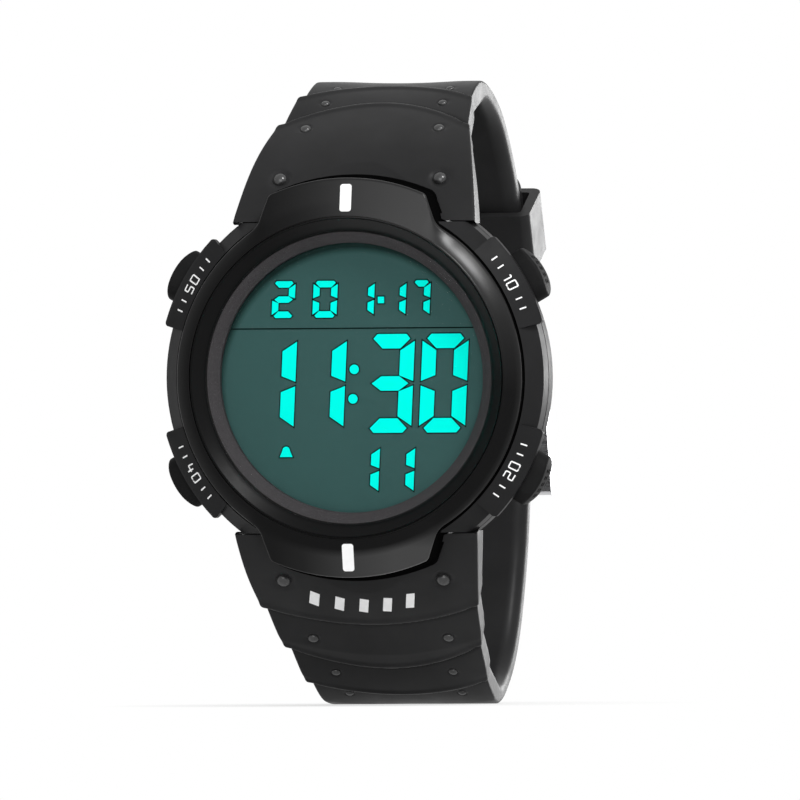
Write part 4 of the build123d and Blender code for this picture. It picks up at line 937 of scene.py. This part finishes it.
def strapShell(path, roundTip=False):
    # a band: each point is the outer line's, less its share of the thickness along the line's normal
    shape, total, apex = path.shape, path.length[-1], path.length[path.apex]
    edge = strap["edge"]
    quarter = np.linspace(0, np.pi / 2, 7)[1:-1]
    outward, inward = np.sin(quarter), 1 - np.cos(quarter)
    spread = np.concatenate([np.linspace(0, 0.52, 18), np.linspace(0.52, 0.74, 32)[1:], np.linspace(0.74, 1, 9)[1:]])
    outerShare = np.concatenate([-spread[::-1], spread[1:]])
    innerShare = outerShare[::-1][::3]
    wall = np.linspace(0, 1, 7)
    # outer skin, right edge, right wall, its inner edge, inner skin, and the same on the left: shares
    # of the half width, the corner's reach across, the thickness, the outer edge and the inner edge
    sections = [(outerShare, 0, 0, 0, 0), (1, outward, 0, inward, 0), (1, 1, wall, 1, 0),
                (1, outward[::-1], 1, 1, 1 - inward[::-1]), (innerShare, 0, 1, 1, 1), (-1, -outward, 1, 1, 1 - inward),
                (-1, -1, wall[::-1], 1, 0), (-1, -outward[::-1], 0, inward[::-1], 0)]
    xShare, xCorner, tShare, outerFall, innerRise = np.concatenate(
        [np.stack(np.broadcast_arrays(*section)) for section in sections], axis=1)

    def section(at):
        # each column's place across the band and below its outer skin, at these lengths
        half, thick = path.along(path.half, at), path.along(path.thick, at)
        ease = smoothStep(at, apex - 3, apex + 5)
        reachAcross, reachBelow = [edge + (full - edge) * ease for full in strap["innerEdge"]]
        cornerReach = np.where(tShare > 0.5, reachAcross, edge)
        x = xShare * (half - cornerReach) + xCorner * cornerReach
        below = outerFall * edge + tShare * (thick - edge - reachBelow) + innerRise * reachBelow
        return x, below, thick

    # where each column starts and ends along the line
    look = path.length < strap["endSearch"]
    x, below, thick = section(path.length[look, None])
    z = np.abs(path.place[look, 1][:, None] - path.normal[look, 1][:, None] * below)
    # the end wall draws back under the skin beside the ear, and reaches under the case beyond it
    slant = np.where(cutOut(x) > watch["rootOffset"] + 1, strap["endSlant"], -strap["endUnder"])
    start = path.length[look][np.argmax(z - cutOut(x) - slant * np.minimum(below, 1) >= 0, axis=0)]
    across = np.abs(section(np.array([[total]]))[0][0])
    if roundTip:
        bow = np.sqrt(np.clip(1 - (across / (shape["rearHalf"] + 0.01)) ** 2.4, 0, 1))
        end = total - strap["tipReach"] * (1 - bow)
    else:
        end = np.where(across < strap["slotHalf"], total - strap["slotReach"], total)
    fan = np.concatenate([[0, 0.007, 0.016, 0.028, 0.042], np.linspace(0.06, 1, 44)])
    reach = strap["fanReach"]
    middle = np.concatenate([np.arange(reach + 0.2, apex + 10, 0.2), np.arange(apex + 10, total - reach, 0.75)])
    fanBack = np.concatenate([[0, 0.008, 0.018, 0.03, 0.05], np.linspace(0.08, 1, 20)])[::-1]
    at = np.concatenate([start + (reach - start) * fan[:, None], middle[:, None] + 0 * start,
                         end - (end - (total - reach + 0.4)) * fanBack[:, None]])
    fromEnd = np.minimum(at - start, end - at)

    x, below, thick = section(at)
    skin = np.clip(1 - below / strap["skinDepth"], 0, 1)
    below = below + path.skinDrop(x, at) * skin
    below = below + np.where(below < thick / 2, 1, -1) * roundDrop(fromEnd, strap["endEdge"]) * (
        (tShare == 0) | (tShare == 1))
    # the outline steps in a little after each step and comes out again over the plate
    narrow = np.zeros_like(at)
    for offset, bow in shape["steps"]:
        past = at - path.lengthAt(offset)
        fade = np.clip(1 - past / strap["notchEnd"], 0, 1)
        narrow = np.where(past > 0, strap["notch"] * smoothStep(past, 0, strap["notchRun"]) * fade, narrow)
    x = x - np.sign(xShare) * narrow * smoothStep(np.abs(xShare), 0.86, 1)
    rows, columns = at.shape
    faces = [list(face) for face in gridFaces(rows, columns, wrapColumns=True)]

    # end walls: three quads of the outer skin's side meet one of the inner skin's
    outerCount, innerCount, side = len(outerShare), len(innerShare), 2 * len(outward) + len(wall)
    innerFirst = outerCount + side
    for first in (0, (rows - 1) * columns):
        for inner in range(innerCount - 1):
            right = outerCount - 1 - 3 * inner
            faces.append([first + i for i in (right, right - 1, right - 2, right - 3, innerFirst + inner + 1,
                                              innerFirst + inner)])
        faces.append([first + i for i in range(outerCount - 1, innerFirst + 1)])
        faces.append([first + i for i in list(range(innerFirst + innerCount - 1, columns)) + [0]])
    return path.surface(x, at, below), faces


# Holes through the strap's tail and bores for its bars, cut on the finished bands

tailHoles = {"below": 5, "above": 3, "pitch": 6.6, "length": 4.6, "width": 2.7, "share": 0.47}
barBores = {"radius": 0.8, "strapHalf": 14.1, "buckleHalf": 12}


def prismShell(outline, axes, depth):
    # an outline pulled through the band along the third axis, both ways
    centre, along, across, outward = axes
    ring = centre + outline[:, :1] * along + outline[:, 1:] * across
    return np.concatenate([ring + outward * depth, ring - outward * depth]), tubeFaces(2, len(outline))


def cutWith(mesh, shells, name):
    # takes the closed shells out of the mesh
    body = addObject(name + "Body", mesh)
    cutter = addObject(name + "Cutter", makeMesh(name + "Cutter", shells))
    cut = body.modifiers.new("cut", "BOOLEAN")
    cut.operation = "DIFFERENCE"
    cut.solver = "EXACT"
    cut.object = cutter
    result = bpy.data.meshes.new_from_object(body.evaluated_get(bpy.context.evaluated_depsgraph_get()))
    for item in (body, cutter):
        bpy.data.objects.remove(item)
    return result


def boreCutter(node, half):
    # a cylinder along X through the middle of a bar's own box
    low, high = [np.array(corner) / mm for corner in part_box(node)]
    return prismShell(circle(barBores["radius"]), ((low + high) / 2, *np.eye(3)[[1, 2, 0]]), barBores[half])


def holeCutters(path, barPoint):
    # slots along the tail, counted from the one that the tongue uses
    straight = (tailHoles["length"] - tailHoles["width"]) / 2
    outline = circle(tailHoles["width"] / 2)
    outline[:, 0] += np.sign(outline[:, 0]) * straight
    bar = path.length[np.argmin(np.linalg.norm(path.place - barPoint, axis=1))]
    first = bar + (1 - tailHoles["share"]) * strap["buckleReach"]
    shells = []
    for count in range(-tailHoles["below"], tailHoles["above"] + 1):
        at = first + count * tailHoles["pitch"]
        outward = unit(path.surface(0, at, 0) - path.surface(0, at, 1))
        across = np.array([1.0, 0, 0])
        axes = path.surface(0, at, strap["tailThickness"] / 2), np.cross(outward, across), across, outward
        shells.append(prismShell(outline, axes, strap["tailThickness"]))
    return shells


print("strap")
upperLine, lowerLine, barIndex = strapLines()
upperPath = StrapPath(upperLine, upperStrap)
lowerPath = StrapPath(lowerLine, lowerStrap, lowerLine[barIndex])
upperBand = cutWith(makeMesh("upperStrapBand", [strapShell(upperPath)]),
                    [boreCutter("upper_spring_bar", "strapHalf"), boreCutter("buckle_spring_bar", "buckleHalf")],
                    "upper")
addPiece("upperStrapBand", upperBand, "strap_resin", "watch", "upper_strap")
lowerBand = cutWith(makeMesh("lowerStrapBand", [strapShell(lowerPath, True)]),
                    [boreCutter("lower_spring_bar", "strapHalf")] + holeCutters(lowerPath, lowerLine[barIndex]),
                    "lower")
addPiece("lowerStrapBand", lowerBand, "strap_resin", "watch", "lower_strap")
for name, path in (("upperStuds", upperPath), ("lowerStuds", lowerPath)):
    addShells(name, path.studShells(), "strap_resin", "watch", sharp=60).data.materials[0] = studGloss

# Row of plain white bars printed on the lower strap

strapBars = {"places": (-7.0, -3.85, -0.7, 2.45, 5.6), "offset": 28.8, "height": 2.6, "width": 1.3, "slant": 0.22,
             "bow": 1.1, "bowHalf": 6.0}


def barStrokes():
    # upright strokes on the strap's skin; the row bows away from the dial in the middle
    def surface(u, v, rise):
        at = lowerPath.lengthAt(strapBars["offset"]) - v + strapBars["bow"] * (1 - (u / strapBars["bowHalf"]) ** 2)
        return lowerPath.surface(u, at, lowerPath.skinDrop(u, at) - rise)

    v = np.linspace(-0.5, 0.5, 9) * strapBars["height"]
    lines = [np.stack([place + strapBars["slant"] * v, v], axis=1) for place in strapBars["places"]]
    return [strokeShell(line, strapBars["width"], surface) for line in lines]


addShells("strapBars", barStrokes(), "index_white", "watch")

print("copies of the plain parts")
for node in ("case_body", "strap_keeper", "buckle_frame", "buckle_tongue", "case_back"):
    smoothCopy(node + "_smooth", node, nodes[node].parent.name.replace("body:", ""))
joints = {joint["name"]: joint for joint in frame["record"]["behaviour"]["joints"]}
for hour in (2, 4, 8, 10):
    smoothCopy(f"pusher_{hour}_smooth", f"pusher_at_{hour}", f"pusher_{hour}")
    # each coil spring's length along its pusher's axis is measured, and the spring gets a mesh of its own
    spring = smoothCopy(f"pusher_spring_{hour}_smooth", f"pusher_spring_at_{hour}", "watch")
    joint = joints[f"press_pusher_{hour}"]
    outward = -Vector(joint["axis"])
    along = [vert.co.dot(outward) for vert in spring.data.vertices]
    low, length = min(along), max(along) - min(along)
    1 - joint["range_m"][1] / length
    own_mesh(spring)

# Light and floor

lamps = {
    "frontPanel": {"place": (0.15, -1.0, 0.25), "size": (0.7, 0.8), "power": 4.6},
    "rightPanel": {"place": (0.58, -0.42, 0.78), "size": (0.25, 0.25), "power": 7.2},
    "rearPanel": {"place": (0.38, 0.95, 0.0), "size": (0.5, 0.26), "power": 3.0},
}
studio = {"fill": 0.3, "floorReach": 60.0, "contact": 18.0, "shadowFrom": 14.0, "shadowTo": 40.0, "paleness": 0.65}


def addLamp(name, place, size, power):
    # a soft panel that faces the origin
    data = bpy.data.lights.new(name, "AREA")
    data.shape = "RECTANGLE"
    data.size, data.size_y = size
    data.energy = power
    addObject(name, data).matrix_world = facing(Vector(place), -Vector(place))


def seenRays(nodeTree):
    # 1 for camera, glossy and transmission rays
    rays = nodeTree.node("ShaderNodeLightPath").socket.node.outputs
    seen = Wire(nodeTree, rays["Is Camera Ray"])
    for kind in ("Is Glossy Ray", "Is Transmission Ray"):
        seen = seen.math("MAXIMUM", seen, Wire(nodeTree, rays[kind]))
    return seen


def addWorld():
    # white where it is seen, and a dimmer even fill for the object
    world = bpy.data.worlds.new("studio")
    bpy.context.scene.world = world
    sky = NodeTree(world)
    background = sky.tree.nodes["Background"]
    sky.feed(background.inputs["Color"], (1, 1, 1, 1))
    sky.feed(background.inputs["Strength"], sky.span(seenRays(sky), 0.0, 1.0, studio["fill"], 1.0))


def floorFinish():
    # pale paint that keeps the shadow near the strap's foot and is white to the camera further out
    finish = Finish("floorPaint")
    cloud = finish.noise(40, 3)
    finish.set(BaseColor=finish.mix(cloud, (0.90, 0.90, 0.90), (0.94, 0.94, 0.94)), Roughness=0.9)
    x, y, z = finish.axes()
    away = lengthOf(x, y - studio["contact"])
    share = finish.span(away, studio["shadowFrom"], studio["shadowTo"], studio["paleness"], 1.0)
    white = finish.node("ShaderNodeEmission", {}, {"Color": (1, 1, 1, 1), "Strength": 1.0})
    paint = Wire(finish, finish.shader.outputs[0])
    shader = finish.node("ShaderNodeMixShader", {}, {0: share * seenRays(finish), 1: paint, 2: white})
    output = [node for node in finish.tree.nodes if node.type == "OUTPUT_MATERIAL"][0]
    finish.tree.links.new(shader.socket, output.inputs["Surface"])
    return finish.material


print("light and floor")
addWorld()
for name, lamp in lamps.items():
    addLamp(name, lamp["place"], lamp["size"], lamp["power"])
floor = bpy.data.meshes.new("floor")
low, reach = cadBox[0][2], studio["floorReach"]
corners = [(-reach, -reach, low), (reach, -reach, low), (reach, reach, low), (-reach, reach, low)]
floor.from_pydata(corners, [], [(0, 1, 2, 3)])
floor.materials.append(floorFinish())
addObject("floor", floor)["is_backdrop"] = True

bpy.context.scene.view_settings.view_transform = "Standard"
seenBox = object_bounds()
[[list(corner) for corner in box] for box in (cadBox, seenBox)]
